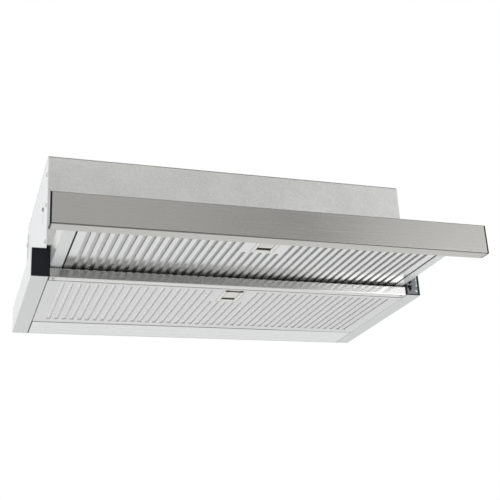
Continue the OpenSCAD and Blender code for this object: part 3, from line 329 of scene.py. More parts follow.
def holeShade(tree, place, colour, look):
    # painted shade in and round punched holes and along the slot below one; each has its y, z, radius in mm and
    # how dark it is
    flat = put(tree, "ShaderNodeVectorMath", {"operation": "MULTIPLY"})
    tree.links.new(place, flat.inputs[0])
    flat.inputs[1].default_value = (0, 1, 1)
    for y, z, radius, amount in look.get("holes", ()):
        away = put(tree, "ShaderNodeVectorMath", {"operation": "DISTANCE"})
        tree.links.new(flat.outputs[0], away.inputs[0])
        away.inputs[1].default_value = (0, y * mm, z * mm)
        share = mapRange(tree, away.outputs["Value"], (radius + spotFade) * mm, radius * mm, 0.0, amount)
        colour = mixColour(tree, share, colour, darkTones["hole"])
    return colour


def brushedFinish(name, look):
    material, tree, shader, place = startFinish(name, look)
    lines = useGroup(tree, groups["brushed"], Vector=place, Stretch=look["stretch"])
    spot = put(tree, "ShaderNodeSeparateXYZ", Vector=place)
    waves = useGroup(tree, groups["waves"], Vector=place, Density=look["waveDensity"])
    dusty = useGroup(tree, groups["grain"], Vector=place)
    tone = mapRange(tree, lines.outputs["Bands"], *middle)
    if "sand" in look:
        # mostly fine specks, with a rest of the bands
        bandShare = 0.25
        speck = useGroup(tree, groups["grain"], Vector=place, Density=look["sand"])
        tone = mathNode(tree, "ADD", mathNode(tree, "MULTIPLY", tone, bandShare),
                        mapRange(tree, speck.outputs["Grain"], *narrow, 0.0, 1 - bandShare))
    colour = mixColour(tree, tone, tint(look["colour"], 1 - look["spread"]),
                       tint(look["colour"], 1 + look["spread"]))
    if "folds" in look:
        # painted shade on the slanting faces, the rolled edges of the sheet
        facing = put(tree, "ShaderNodeSeparateXYZ", Vector=place.node.outputs["Normal"])
        slope = mathNode(tree, "ABSOLUTE", mathNode(tree, "MULTIPLY", facing.outputs["Y"], facing.outputs["Z"]))
        folded = mapRange(tree, slope, 0.08, 0.3, 0.0, look["folds"])
        colour = mixColour(tree, folded, colour, darkTones["fold"])
    if "sheen" in look:
        # painted reflection: the upright face is brighter towards its right end
        sheen = look["sheen"]
        upright = put(tree, "ShaderNodeSeparateXYZ", Vector=place.node.outputs["Normal"])
        front = mathNode(tree, "GREATER_THAN", mathNode(tree, "ABSOLUTE", upright.outputs["Y"]), 0.7)
        share = mapRange(tree, spot.outputs["X"], sheen["from"] * mm, sheen["to"] * mm)
        ends = mixColour(tree, share, tint(look["colour"], sheen["left"]), tint(look["colour"], sheen["right"]))
        colour = mixColour(tree, front, colour, ends)
    if "bendShade" in look:
        # painted shade: a dark line along a bend, which fades to the right
        bendShade = look["bendShade"]
        edge = mapRange(tree, spot.outputs["Y"], (bendShade["y"] + bendShade["width"]) * mm, bendShade["y"] * mm,
                        0.0, bendShade["amount"])
        fade = mapRange(tree, spot.outputs["X"], bendShade["fadeFrom"] * mm, bendShade["fadeTo"] * mm,
                        1.0, bendShade["rightShare"])
        colour = mixColour(tree, mathNode(tree, "MULTIPLY", edge, fade), colour, darkTones["bendShade"])
    plug(tree, shader.inputs["Base Color"], paintRecessShade(tree, place, colour, look))
    rough = mapRange(tree, lines.outputs["Lines"], *wide, *swing(look, "brushed"))
    smudges = mapRange(tree, dusty.outputs["Patches"], *patchy, 0.0, look["smudge"])
    plug(tree, shader.inputs["Roughness"], mathNode(tree, "ADD", rough, smudges))
    addBumps(tree, shader, [
        (waves.outputs["Height"], look["waveDepth"]), (lines.outputs["Lines"], look["lineDepth"])])
    return material


def zincFinish(name, look):
    material, tree, shader, place = startFinish(name, look)
    flakes = useGroup(tree, groups["spangle"], Vector=place, Density=look["density"])
    waves = useGroup(tree, groups["waves"], Vector=place, Density=look["waveDensity"])
    patches = useGroup(tree, groups["grain"], Vector=place, Density=look["sandDensity"])
    cloud = mapRange(tree, patches.outputs["Patches"], *middle, 0.0, look["cloud"])
    sand = mapRange(tree, patches.outputs["Grain"], *narrow, 0.0, look["sand"])
    tone = mathNode(tree, "MULTIPLY_ADD", flakes.outputs["Tone"], 1 - look["cloud"] - look["sand"], True)
    tree.links.new(mathNode(tree, "ADD", cloud, sand), tone.node.inputs[2])
    plug(tree, shader.inputs["Base Color"], mixColour(
        tree, tone, tint(look["colour"], 1 - look["spread"]), tint(look["colour"], 1 + look["spread"])))
    rough = mapRange(tree, flakes.outputs["Tone"], 0.1, 0.9, *swing(look, "zinc"))
    plug(tree, shader.inputs["Roughness"], rough)
    addBumps(tree, shader, [
        (waves.outputs["Height"], look["waveDepth"]), (flakes.outputs["Tone"], look["flakeDepth"])])
    return material


def grainFinish(name, look):
    material, tree, shader, place = startFinish(name, look)
    grain = useGroup(tree, groups["grain"], Vector=place, Density=look["density"])
    colour = mixColour(tree, mapRange(tree, grain.outputs["Patches"], *middle),
                       tint(look["colour"], 1 - look["spread"]), tint(look["colour"], 1 + look["spread"]))
    colour = holeShade(tree, place, greyOuter(tree, place, colour, look), look)
    for at, amount in look.get("lines", ()):
        # the shaded joints beside a slide and round its plate
        across = mathNode(tree, "ABSOLUTE", put(tree, "ShaderNodeSeparateXYZ", Vector=place).outputs["X"])
        away = mathNode(tree, "ABSOLUTE", mathNode(tree, "SUBTRACT", across, at * mm))
        share = mapRange(tree, away, jointEdge * mm, jointCore * mm, 0.0, amount)
        colour = mixColour(tree, share, colour, darkTones["joint"])
    if "seamShade" in look:
        # painted shade along the rolled edge at a gap, which also loses its coat there
        seamShade = look["seamShade"]
        spot = put(tree, "ShaderNodeSeparateXYZ", Vector=place)
        close = mapRange(tree, spot.outputs["X"], (seamShade["x"] + seamShade["width"]) * mm,
                         (seamShade["x"] + seamShade["full"]) * mm)
        right = mathNode(tree, "GREATER_THAN", spot.outputs["X"], (seamShade["x"] - seamShade["inside"]) * mm)
        edgeShade = mathNode(tree, "MAXIMUM", recessShadeShare(tree, place, look),
                        mathNode(tree, "MULTIPLY", close, right))
        colour = mixColour(tree, edgeShade, colour, (*look["recess"]["colour"], 1))
        plug(tree, shader.inputs["Metallic"], edgeShade)
        coat = mapRange(tree, edgeShade, 0.0, 1.0, look["shader"]["Coat Weight"], 0.0)
        plug(tree, shader.inputs["Coat Weight"], coat)
    plug(tree, shader.inputs["Base Color"], paintRecessShade(tree, place, colour, look))
    rough = mapRange(tree, grain.outputs["Patches"], 0.3, 0.75, *swing(look, "grain"))
    plug(tree, shader.inputs["Roughness"], rough)
    heights = [(grain.outputs["Grain"], look["grainDepth"])]
    if "waveDepth" in look:
        waves = useGroup(tree, groups["waves"], Vector=place, Density=look["waveDensity"])
        heights.insert(0, (waves.outputs["Height"], look["waveDepth"]))
    addBumps(tree, shader, heights)
    return material


def meshFinish(name, look):
    # dark gaps between bright strands
    material, tree, shader, place = startFinish(name, look)
    strands = useGroup(tree, groups["expanded"], Vector=place, Cell=look["cell"])
    colour = mixColour(tree, strands.outputs["Strand"],
                       tint(look["colour"], look["gap"]), tint(look["colour"], 1))
    # painted shadow along both edges of each slot, stronger at the left edge
    for label, amount in look["edges"].items():
        edges = useGroup(tree, groups["slots"], Vector=place, Soft=look["edgeShadowWidth"] * mm)
        share = mathNode(tree, "MULTIPLY", edges.outputs[label], amount)
        colour = mixColour(tree, share, colour, tint(look["colour"], look["edgeShadowTone"]))
    if "rear" in look:
        # painted shade towards the rear end, where the strip and the body keep light away; this end stays
        # inside the body
        spot = put(tree, "ShaderNodeSeparateXYZ", Vector=place)
        share = mapRange(tree, spot.outputs["Y"], look["rear"] * mm, (look["rear"] + look["rearFade"]) * mm,
                         0.0, look["soot"])
        colour = mixColour(tree, share, colour, darkTones["soot"])
    plug(tree, shader.inputs["Base Color"], colour)
    rough = mapRange(tree, strands.outputs["Strand"], 0, 1, 0.75, look["roughness"])
    plug(tree, shader.inputs["Roughness"], rough)
    addBumps(tree, shader, [(strands.outputs["Strand"], look["strandDepth"])])
    return material


latchLook = {
    "colour": (0.88, 0.875, 0.835), "roughness": 0.30, "spread": 0.02, "density": 1600.0,
    "grainDepth": 0.00002, "lines": [(10.2, 0.85), (16.4, 0.6)],
    # recess: painted shade inside the finger pocket and over the tongue in the window
    "recess": {"where": "All", "base": 0.0, "start": 0.5, "end": 1.1, "top": 6.3, "halfWidth": 15.9,
               "amount": 0.97, "colour": (0.045, 0.036, 0.025)}}
finishLooks = {
    "body_sheet": (grainFinish, {
        "colour": (0.71, 0.72, 0.73), "roughness": 0.34, "spread": 0.02, "density": 900.0,
        "grainDepth": 0.00002, "waveDensity": 8.0, "waveDepth": 0.003,
        # holes: painted shade in the fixing holes and along the slot below the front one
        "holes": [(-233, 122, 2.7, 1), (-41, 122, 2.7, 1), (-233, 110, 3.6, 0.3), (-233, 102, 3.6, 0.3)],
        "shader": {"Coat Weight": 0.25, "Coat Roughness": 0.2}}),
    "galvanised": (zincFinish, {
        "colour": (0.72, 0.728, 0.705), "roughness": 0.39, "spread": 0.13, "density": 420.0,
        "flakeDepth": 0.00002,
        "cloud": 0.3, "sand": 0.42, "sandDensity": 700.0, "waveDensity": 7.0, "waveDepth": 0.004,
        "shader": {"Metallic": 0.9}}),
    "tray_side_sheet": (grainFinish, {
        "colour": (0.77, 0.78, 0.79), "roughness": 0.34, "spread": 0.02, "density": 900.0,
        # outer: the upright walls darker, partly galvanised grey, partly painted shade from the front panel
        "grainDepth": 0.00002, "waveDensity": 8.0, "waveDepth": 0.003, "outer": (0.5, 0.505, 0.5),
        # seam and recess: painted shade along the flange's rolled edge and on the walls in the gap beside the
        # filter
        "seamShade": {"x": 256.0, "width": 3.0, "full": 0.3, "inside": 1},
        "recess": {"where": "Walls", "base": trayZ, "start": -0.05, "end": 0.2, "halfWidth": 257.2,
                   "amount": 0.97, "colour": (0.015, 0.015, 0.016)},
        "shader": {"Coat Weight": 0.5, "Coat Roughness": 0.08}}),
    "stainless": (brushedFinish, {
        "colour": (0.525, 0.52, 0.495), "roughness": 0.23, "smudge": 0.01, "spread": 0.014, "sand": 650.0,
        "stretch": (14, 3600, 3600), "lineDepth": 0.0000015, "waveDensity": 4.0, "waveDepth": 0.0008,
        # folds: painted shade on the rolled edges
        "folds": 0.85, "shader": {"Metallic": 1.0}}),
    # the strip: the front panel's stainless made lighter, with a painted reflection brightening its face to the
    # right
    "strip_steel": (brushedFinish, {
        "colour": (0.70, 0.697, 0.685), "roughness": 0.22, "smudge": 0.01, "spread": 0.006,
        "stretch": (14, 3600, 3600), "lineDepth": 0.000001, "waveDensity": 3.0, "waveDepth": 0.0003,
        "sheen": {"from": 70, "to": 185, "left": 0.80, "right": 1.38}, "shader": {"Metallic": 1.0}}),
    "filter_sheet": (brushedFinish, {
        "colour": (0.76, 0.765, 0.765), "roughness": 0.20, "smudge": 0.02, "spread": 0.015,
        "stretch": (900, 12, 900), "lineDepth": 0.000006, "waveDensity": 9.0, "waveDepth": 0.0006,
        "shader": {"Metallic": 0.85}}),
    "tray_filter_sheet": (brushedFinish, {
        "colour": (0.76, 0.765, 0.765), "roughness": 0.17, "smudge": 0.01, "spread": 0.01,
        "stretch": (900, 12, 900), "lineDepth": 0.000002, "waveDensity": 6.0, "waveDepth": 0.0003,
        # recess: painted shade on the side walls of the slots
        "recess": {"where": "Sides", "base": trayZ, "start": 0.2, "end": 1.6, "amount": 0.7,
                   "colour": (0.30, 0.302, 0.305)},
        "shader": {"Metallic": 0.72}}),
    "fixed_filter_sheet": (brushedFinish, {
        "colour": (0.70, 0.705, 0.705), "roughness": 0.22, "smudge": 0.01, "spread": 0.01,
        "stretch": (900, 12, 900), "lineDepth": 0.000006, "waveDensity": 6.0, "waveDepth": 0.0003,
        # recess: painted shade on the side walls of the slots
        "recess": {"where": "Sides", "base": 0.0, "start": 0.1, "end": 0.7, "amount": 0.3,
                   "colour": (0.22, 0.222, 0.225)},
        "shader": {"Metallic": 0.55}}),
    "light_sheet": (brushedFinish, {
        "colour": (0.775, 0.78, 0.785), "roughness": 0.26, "smudge": 0.01, "spread": 0.003,
        "stretch": (12, 900, 900), "lineDepth": 0.000003, "waveDensity": 6.0, "waveDepth": 0.0005,
        # bend: painted shade at the front edge's bend; recess: painted shade on the walls of the gap in front
        "bendShade": {"y": -67.2, "width": 1.4, "amount": 0.8, "fadeFrom": 100, "fadeTo": 270, "rightShare": 0.35},
        "recess": {"where": "Walls", "base": 0.0, "start": 0.0, "end": 0.4, "amount": 0.9,
                   "colour": (0.06, 0.062, 0.065)},
        "shader": {"Metallic": 0.8}}),
    "filter_mesh": (meshFinish, {
        "colour": (0.95, 0.955, 0.95), "roughness": 0.5, "gap": 0.90, "cell": 0.0042, "strandDepth": 0.00015,
        # edges: painted shadow along the slot edges
        "edges": {"Left": 0.5, "Right": 0.3}, "edgeShadowWidth": 0.9, "edgeShadowTone": 0.4,
        # rear, rearFade and the amount after them: painted shade towards the rear end
        "rear": -305, "rearFade": 20, "soot": 0.78, "shader": {"Metallic": 0.1}}),
    "fixed_mesh": (meshFinish, {
        "colour": (0.99, 0.99, 0.99), "roughness": 0.65, "gap": 0.97, "cell": 0.0042, "strandDepth": 0.00001,
        # edges: painted shadow along the slot edges
        "edges": {"Left": 0.8, "Right": 0.3}, "edgeShadowWidth": 0.65, "edgeShadowTone": 0.12,
        "shader": {"Metallic": 0.6}}),
    "black_plastic": (grainFinish, {
        "colour": (0.009, 0.0105, 0.014), "roughness": 0.28, "spread": 0.25, "density": 1700.0,
        "grainDepth": 0.00002, "shader": {"Specular IOR Level": 0.2}}),
    "cap_plastic": (grainFinish, {
        "colour": (0.006, 0.0065, 0.008), "roughness": 0.16, "spread": 0.25, "density": 1700.0,
        "grainDepth": 0.000004, "shader": {"Specular IOR Level": 0.35}}),
    "knob_plastic": (grainFinish, {
        "colour": (0.006, 0.0063, 0.007), "roughness": 0.45, "spread": 0.25, "density": 2200.0,
        "grainDepth": 0.00002, "shader": {"Specular IOR Level": 0.15}}),
    "label_plate": (grainFinish, {
        "colour": (0.21, 0.225, 0.235), "roughness": 0.32, "spread": 0.05, "density": 2600.0,
        "grainDepth": 0.00001, "shader": {"Metallic": 0.3}}),
    "tray_latch_plastic": (grainFinish, {**latchLook, "recess": {**latchLook["recess"], "base": trayZ}}),
    "fixed_latch_plastic": (grainFinish, latchLook),
    "diffuser": (grainFinish, {
        "colour": (0.92, 0.93, 0.945), "roughness": 0.38, "spread": 0.01, "density": 1200.0,
        "grainDepth": 0.00002}),
    "led_board": (grainFinish, {
        "colour": (0.80, 0.82, 0.78), "roughness": 0.45, "spread": 0.03, "density": 1500.0,
        "grainDepth": 0.00001}),
    "slide_steel": (brushedFinish, {
        "colour": (0.52, 0.525, 0.53), "roughness": 0.30, "smudge": 0.08, "spread": 0.05,
        "stretch": (700, 10, 700), "lineDepth": 0.00001, "waveDensity": 12.0, "waveDepth": 0.0006,
        "shader": {"Metallic": 0.95}}),
    "cage_plastic": (grainFinish, {
        "colour": (0.30, 0.24, 0.09), "roughness": 0.42, "spread": 0.08, "density": 1500.0,
        "grainDepth": 0.00002}),
    "motor_steel": (brushedFinish, {
        "colour": (0.40, 0.41, 0.42), "roughness": 0.42, "smudge": 0.1, "spread": 0.07,
        "stretch": (12, 500, 500), "lineDepth": 0.00002, "waveDensity": 20.0, "waveDepth": 0.0006,
        "shader": {"Metallic": 0.85}}),
    "impeller_plastic": (grainFinish, {
        "colour": (0.045, 0.048, 0.052), "roughness": 0.40, "spread": 0.2, "density": 1500.0,
        "grainDepth": 0.00002}),
    "collar_plastic": (grainFinish, {
        "colour": (0.028, 0.029, 0.033), "roughness": 0.42, "spread": 0.2, "density": 1300.0,
        "grainDepth": 0.00004}),
    "box_plastic": (grainFinish, {
        "colour": (0.62, 0.62, 0.60), "roughness": 0.40, "spread": 0.03, "density": 1500.0,
        "grainDepth": 0.00003}),
    "screw_steel": (brushedFinish, {
        "colour": (0.58, 0.585, 0.59), "roughness": 0.28, "smudge": 0.08, "spread": 0.08,
        "stretch": (900, 900, 900), "lineDepth": 0.00001, "waveDensity": 200.0, "waveDepth": 0.0001,
        "shader": {"Metallic": 1.0}}),
    "print_white": (grainFinish, {
        "colour": (0.93, 0.935, 0.94), "roughness": 0.5, "spread": 0.03, "density": 3000.0,
        "grainDepth": 0.00001}),
}
finishes = {name: make(name, look) for name, (make, look) in finishLooks.items()}
print("finishes:", len(finishes))

# every CAD node gets the finish of its slot in the record, or its own variant of it
nodeFinish = {row["node"]: row["material_slot"] for row in frame["record"]["subparts"]}
slotOf = dict(nodeFinish)
nodeFinish.update({
    "front_strip": "strip_steel", "light_panel": "light_sheet",
    "left_tray_side": "tray_side_sheet", "right_tray_side": "tray_side_sheet",
    "tray_filter_cover": "tray_filter_sheet", "fixed_filter_cover": "fixed_filter_sheet",
    "tray_latch_plate": "tray_latch_plastic", "fixed_latch_plate": "fixed_latch_plastic",
    "tray_latch": "tray_latch_plastic", "fixed_latch": "fixed_latch_plastic",
    "fixed_filter_mesh": "fixed_mesh", "left_end_cap": "cap_plastic", "right_end_cap": "cap_plastic",
})
for name, node in nodes.items():
    for materialSlot in node.material_slots:
        materialSlot.material = finishes[nodeFinish[name]]


# helpers for pieces

def finishPiece(name, bm, body, slotName, stands=(), finish=None):
    mesh = bpy.data.meshes.new(name)
    bm.to_mesh(mesh)
    bm.free()
    piece = bpy.data.objects.new(name, mesh)
    scene.collection.objects.link(piece)
    mesh.materials.append(finishes[finish or slotName])
    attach(piece, body)
    if stands:
        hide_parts(*stands)
    return piece


def addBox(bm, low, high):
    size = [b - a for a, b in zip(low, high)]
    middle = [(a + b) / 2 for a, b in zip(low, high)]
    place = Matrix.Translation(middle) @ Matrix.Diagonal((*size, 1))
    return bmesh.ops.create_cube(bm, size=1, matrix=place)["verts"]


def spinOutline(bm, outline, steps):
    # turns an outline of radius and height, in mm, round the Z axis
    verts = [bm.verts.new((r * mm, 0, z * mm)) for r, z in outline]
    edges = [bm.edges.new(pair) for pair in zip(verts, verts[1:])]
    bmesh.ops.spin(bm, geom=verts + edges, axis=(0, 0, 1), cent=(0, 0, 0), steps=steps, angle=2 * pi,
                   use_merge=True)
    bmesh.ops.remove_doubles(bm, verts=bm.verts, dist=0.002 * mm)


def softCopy(nodeName, newName, width, segments=2, sharpAngle=28):
    # the CAD shape with its moulded edges rounded; it stands for the node
    bm = bmesh.new()
    bm.from_mesh(nodes[nodeName].data)
    bmesh.ops.remove_doubles(bm, verts=bm.verts, dist=0.01 * mm)
    bmesh.ops.dissolve_limit(bm, angle_limit=radians(0.5), verts=bm.verts, edges=bm.edges)
    sharp = [e for e in bm.edges if len(e.link_faces) == 2 and e.calc_face_angle(0) > radians(sharpAngle)]
    bmesh.ops.bevel(bm, geom=sharp, offset=width, offset_type="OFFSET", segments=segments,
                    profile=0.5, affect="EDGES", clamp_overlap=True, material=-1)
    return finishPiece(newName, bm, nodes[nodeName]["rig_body"], slotOf[nodeName], [nodeName],
                       nodeFinish[nodeName])


# moulded parts with soft edges

mouldedEdges = {
    "left_corner_cap": 0.35, "control_bezel": 0.3, "speed_slider": 0.35, "light_slider": 0.35,
    "left_end_cap": 0.5, "right_end_cap": 0.5, "tray_latch_plate": 0.25, "tray_latch": 0.2,
    "fixed_latch_plate": 0.25, "fixed_latch": 0.2, "outlet_collar": 0.4, "terminal_box": 0.8,
    "cable_gland": 0.4,
}
for nodeName, width in mouldedEdges.items():
    softCopy(nodeName, nodeName + "_moulded", width * mm)
print("moulded parts:", len(mouldedEdges))


# grease filters: the mesh pads behind the slots

filterPads = {
    "tray_filter_pad": {"node": "tray_filter_mesh", "body": "tray", "bulge": 0.2, "crinkle": 0.6,
                        "finish": "filter_mesh"},
    "fixed_filter_pad": {"node": "fixed_filter_mesh", "body": "fixed_filter", "bulge": 1.5, "crinkle": 0.12,
                         "finish": "fixed_mesh"},
}
# what both pads share: cells along X and Y, the room for the latch box and the lift of the sheet in mm,
# and two noises with their scale per metre and their height in mm
padMesh = {"columns": 170, "rows": 66, "latchHalf": 19.2, "latchEnd": 57.0, "lift": 0.6,
           "fine": {"scale": 260, "height": 0.35}, "coarse": {"scale": 90, "height": 0.25}}


def makePad(name, look):
    low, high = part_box(look["node"])
    size = high - low
    bm = bmesh.new()
    place = Matrix.Translation((low + high) / 2) @ Matrix.Diagonal((size.x, size.y, 1, 1))
    bmesh.ops.create_grid(bm, x_segments=padMesh["columns"], y_segments=padMesh["rows"], size=0.5, matrix=place)
    room = [f for f in bm.faces if abs(f.calc_center_median().x) < padMesh["latchHalf"] * mm
            and f.calc_center_median().y < low.y + padMesh["latchEnd"] * mm]
    bmesh.ops.delete(bm, geom=room, context="FACES")
    # the underside bulges down towards the slots
    lift = padMesh["lift"]
    for v in bm.verts:
        crinkle = sum(noise.noise(v.co * wave["scale"]) * wave["height"]
                      for wave in (padMesh["fine"], padMesh["coarse"]))
        v.co.z = low.z + (lift - look["bulge"] + crinkle * look["crinkle"]) * mm
    shell = bmesh.ops.extrude_face_region(bm, geom=bm.faces[:])
    top = [g for g in shell["geom"] if isinstance(g, bmesh.types.BMVert)]
    bmesh.ops.translate(bm, verts=top, vec=(0, 0, size.z - (2 * lift - look["bulge"]) * mm))
    bmesh.ops.recalc_face_normals(bm, faces=bm.faces[:])
    return finishPiece(name, bm, look["body"], "filter_mesh", [look["node"]], look["finish"])


for name, look in filterPads.items():
    makePad(name, look)
print("filter pads:", len(filterPads))


# screws with cross recesses

screwLook = {"shank": 1.5, "length": 4.0, "head": 3.0, "headHeight": 1.6, "steps": 28, "recess": 1.7,
             "recessDepth": 1.0, "recessHalf": 0.32, "recessTaper": (0.55, 0.7, 1), "twist": 0.7}


def makeScrewMesh(look):
    # pan head on z = 0, spun from its outline, with a cross cut into it
    bm = bmesh.new()
    top, head, shank, end = look["headHeight"], look["head"], look["shank"], -look["length"]
    spinOutline(bm, [(0, top), (1.6, top - 0.05), (2.5, top - 0.35), (head - 0.1, 0.7), (head, 0.35), (head, 0),
                     (shank, 0), (shank, end + 0.4), (shank - 0.5, end), (0, end)], look["steps"])
    bmesh.ops.recalc_face_normals(bm, faces=bm.faces[:])
    body = bpy.data.meshes.new("screw_blank")
    bm.to_mesh(body)
    bm.free()

    bm = bmesh.new()
    arm, half = look["recess"] * mm, look["recessHalf"] * mm
    for turn in (0, pi / 2):
        bar = addBox(bm, (-arm, -half, (top - look["recessDepth"]) * mm), (arm, half, (top + 1) * mm))
        foot = [v for v in bar if v.co.z < top * mm]
        bmesh.ops.scale(bm, verts=foot, vec=look["recessTaper"])
        bmesh.ops.rotate(bm, verts=bar, cent=(0, 0, 0), matrix=Matrix.Rotation(turn, 3, "Z"))
    cutter = bpy.data.meshes.new("screw_cross")
    bm.to_mesh(cutter)
    bm.free()

    blank = bpy.data.objects.new("screw_blank", body)
    cross = bpy.data.objects.new("screw_cross", cutter)
    for tool in (blank, cross):
        scene.collection.objects.link(tool)
    cut = blank.modifiers.new("cross", "BOOLEAN")
    cut.object = cross
    cut.operation = "DIFFERENCE"
    cut.use_self = True
    graph = bpy.context.evaluated_depsgraph_get()
    done = bpy.data.meshes.new_from_object(blank.evaluated_get(graph))
    for tool in (blank, cross):
        bpy.data.objects.remove(tool)
    return done


def placeScrews(name, body, node, screwMesh, rows):
    bm = bmesh.new()
    for count, (where, axis) in enumerate(rows):
        before = len(bm.verts)
        bm.from_mesh(screwMesh)
        bm.verts.ensure_lookup_table()
        turn = Vector(axis).to_track_quat("Z", "Y").to_matrix().to_4x4()
        twist = Matrix.Rotation(count * screwLook["twist"], 4, "Z")
        bmesh.ops.transform(bm, verts=bm.verts[before:],
                            matrix=Matrix.Translation(Vector(where) * mm) @ turn @ twist)
    return finishPiece(name, bm, body, "screw_steel", [node])


screwMesh = makeScrewMesh(screwLook)
# where the CAD screws sit, in mm; the side and lower ones are the same on both sides
screwSpots = {
    "top": {"x": 272, "z": 184, "y": (-40, -140, -240)},
    "front": {"x": 279, "y": -273, "z": (57, 112, 160)},
    "rear": {"y": -8, "xz": ((279, 72), (279.8, 150))},
    "under": {"x": 268, "y": -279, "z": 0},
    "tray": {"x": 244, "y": -469.8, "z": (22, 33)},
}
top, front, rear, under, tray = screwSpots.values()
bodyRows = [((s * top["x"], y, top["z"]), (0, 0, 1)) for s in (-1, 1) for y in top["y"]]
bodyRows += [((s * front["x"], front["y"], z), (s, 0, 0)) for s in (-1, 1) for z in front["z"]]
bodyRows += [((s * x, rear["y"], z), (s, 0, 0)) for s in (-1, 1) for x, z in rear["xz"]]
bodyRows += [((s * under["x"], under["y"], under["z"]), (0, 0, -1)) for s in (-1, 1)]
placeScrews("body_screws_cross", "hood_body", "body_screws", screwMesh, bodyRows)
trayRows = [((s * tray["x"], tray["y"], z), (0, -1, 0)) for s in (-1, 1) for z in tray["z"]]
placeScrews("tray_screws_cross", "tray", "tray_screws", screwMesh, trayRows)
print("screws:", len(bodyRows) + len(trayRows))


# blanking plugs in the front fixing holes

plugLook = {"place": (279, -233, 122), "head": 3.2, "proud": 1.4, "stem": 2.2, "depth": 0.7, "steps": 24}


def makePlugs(look):
    bm = bmesh.new()
    head, proud, stem, end = look["head"], look["proud"], look["stem"], -look["depth"]
    spinOutline(bm, [(0, proud), (head * 0.6, proud - 0.15), (head - 0.3, proud * 0.6), (head, 0.3), (head, 0),
                     (stem, 0), (stem, end), (0, end)], look["steps"])
    place = [v * mm for v in look["place"]]
    stand = Matrix.Translation(place) @ Matrix.Rotation(pi / 2, 4, "Y")
    bmesh.ops.transform(bm, verts=bm.verts, matrix=stand)
    bmesh.ops.mirror(bm, geom=bm.verts[:] + bm.edges[:] + bm.faces[:], axis="X", merge_dist=0)
    bmesh.ops.recalc_face_normals(bm, faces=bm.faces[:])
    return finishPiece("fixing_hole_plugs", bm, "hood_body", "black_plastic")


makePlugs(plugLook)
print("plugs made")


# printed marks on the control plate

markLook = {"plateY": -283.6, "thick": 0.06, "digitX": 294.7, "digitHeight": 3.5, "bold": 0.36,
            "digits": {"3": 29.4, "2": 25.9, "1": 21.5, "0": 17.3}, "lampX": 293.6, "lampZ": 8.4, "bulb": 1.25,
            "rays": (-30, 0, 30), "rayReach": 2.5, "rayLength": 1.3, "rayWidth": 0.4,
            "base": ((1.35, 0.62), (1.85, 0.5)), "baseHalf": 0.17}


def makeMarks(look):
    # digits up the plate beside the speed knob, and a lamp sign beside the light knob
    bm = bmesh.new()
    plateY, thick = look["plateY"] * mm, look["thick"] * mm
    upright = Matrix.Rotation(pi / 2, 4, "X")
    for text, z in look["digits"].items():
        curve = bpy.data.curves.new("digit_" + text, "FONT")
        curve.body = text
        curve.size = look["digitHeight"] * mm
        curve.align_x = "CENTER"
        curve.align_y = "CENTER"
        curve.extrude = thick / 2
        curve.offset = look["bold"] * mm
        letter = bpy.data.objects.new("digit_" + text, curve)
        scene.collection.objects.link(letter)
        graph = bpy.context.evaluated_depsgraph_get()
        flat = bpy.data.meshes.new_from_object(letter.evaluated_get(graph))
        before = len(bm.verts)
        bm.from_mesh(flat)
        bm.verts.ensure_lookup_table()
        spot = Matrix.Translation((look["digitX"] * mm, plateY, z * mm))
        bmesh.ops.transform(bm, verts=bm.verts[before:], matrix=spot @ upright)
        bpy.data.objects.remove(letter)
    # the sign: a round bulb, its rays and two bars for the base
    spot = Matrix.Translation((look["lampX"] * mm, plateY, look["lampZ"] * mm))
    bmesh.ops.create_cone(bm, cap_ends=True, segments=24, radius1=look["bulb"] * mm, radius2=look["bulb"] * mm,
                          depth=thick, matrix=spot @ upright)
    bar = Matrix.Diagonal((look["rayLength"] * mm, thick, look["rayWidth"] * mm, 1))
    for side in (-1, 1):
        for angle in look["rays"]:
            out = Matrix.Translation((side * look["rayReach"] * mm, 0, 0))
            ray = Matrix.Rotation(radians(angle), 4, "Y") @ out
            bmesh.ops.create_cube(bm, size=1, matrix=spot @ ray @ bar)
    for drop, half in look["base"]:
        z = look["lampZ"] - drop
        addBox(bm, ((look["lampX"] - half) * mm, plateY - thick / 2, (z - look["baseHalf"]) * mm),
               ((look["lampX"] + half) * mm, plateY + thick / 2, (z + look["baseHalf"]) * mm))
    return finishPiece("control_marks", bm, "hood_body", "label_plate", finish="print_white")


makeMarks(markLook)
print("control marks made")


# studio: floor, world, lamps and camera

studio = {"floorZ": -0.75, "floorSize": 7.0, "floorFront": -1.75, "floorColour": (0.80, 0.80, 0.79, 1),
          "floorRoughness": 0.9, "floorGlow": 0.97, "floorShare": 0.85, "worldLevel": 0.765,
          "cameraPlace": (-0.41148, -1.52409, -0.42849), "cameraTurn": (110.8068, 3.4862, -19.3284),
          "lens": 67.27, "sensor": 36, "shift": (-0.0441, -0.0152),
          "roofGrey": (0.5, 0.5, 0.5, 1), "lowGrey": (0.09, 0.09, 0.087, 1)}
# greys that the steel mirrors in front of the hood, from far left (0) to far right (1)
frontGreys = [(0.0, 0.72), (0.46, 0.70), (0.50, 0.66), (0.545, 0.63), (0.60, 0.67), (0.635, 0.62), (0.66, 0.42),
              (0.688, 0.06), (0.708, 0.60), (0.73, 1.0), (0.78, 0.94), (1.0, 0.85)]
white = (1, 1, 1, 1)


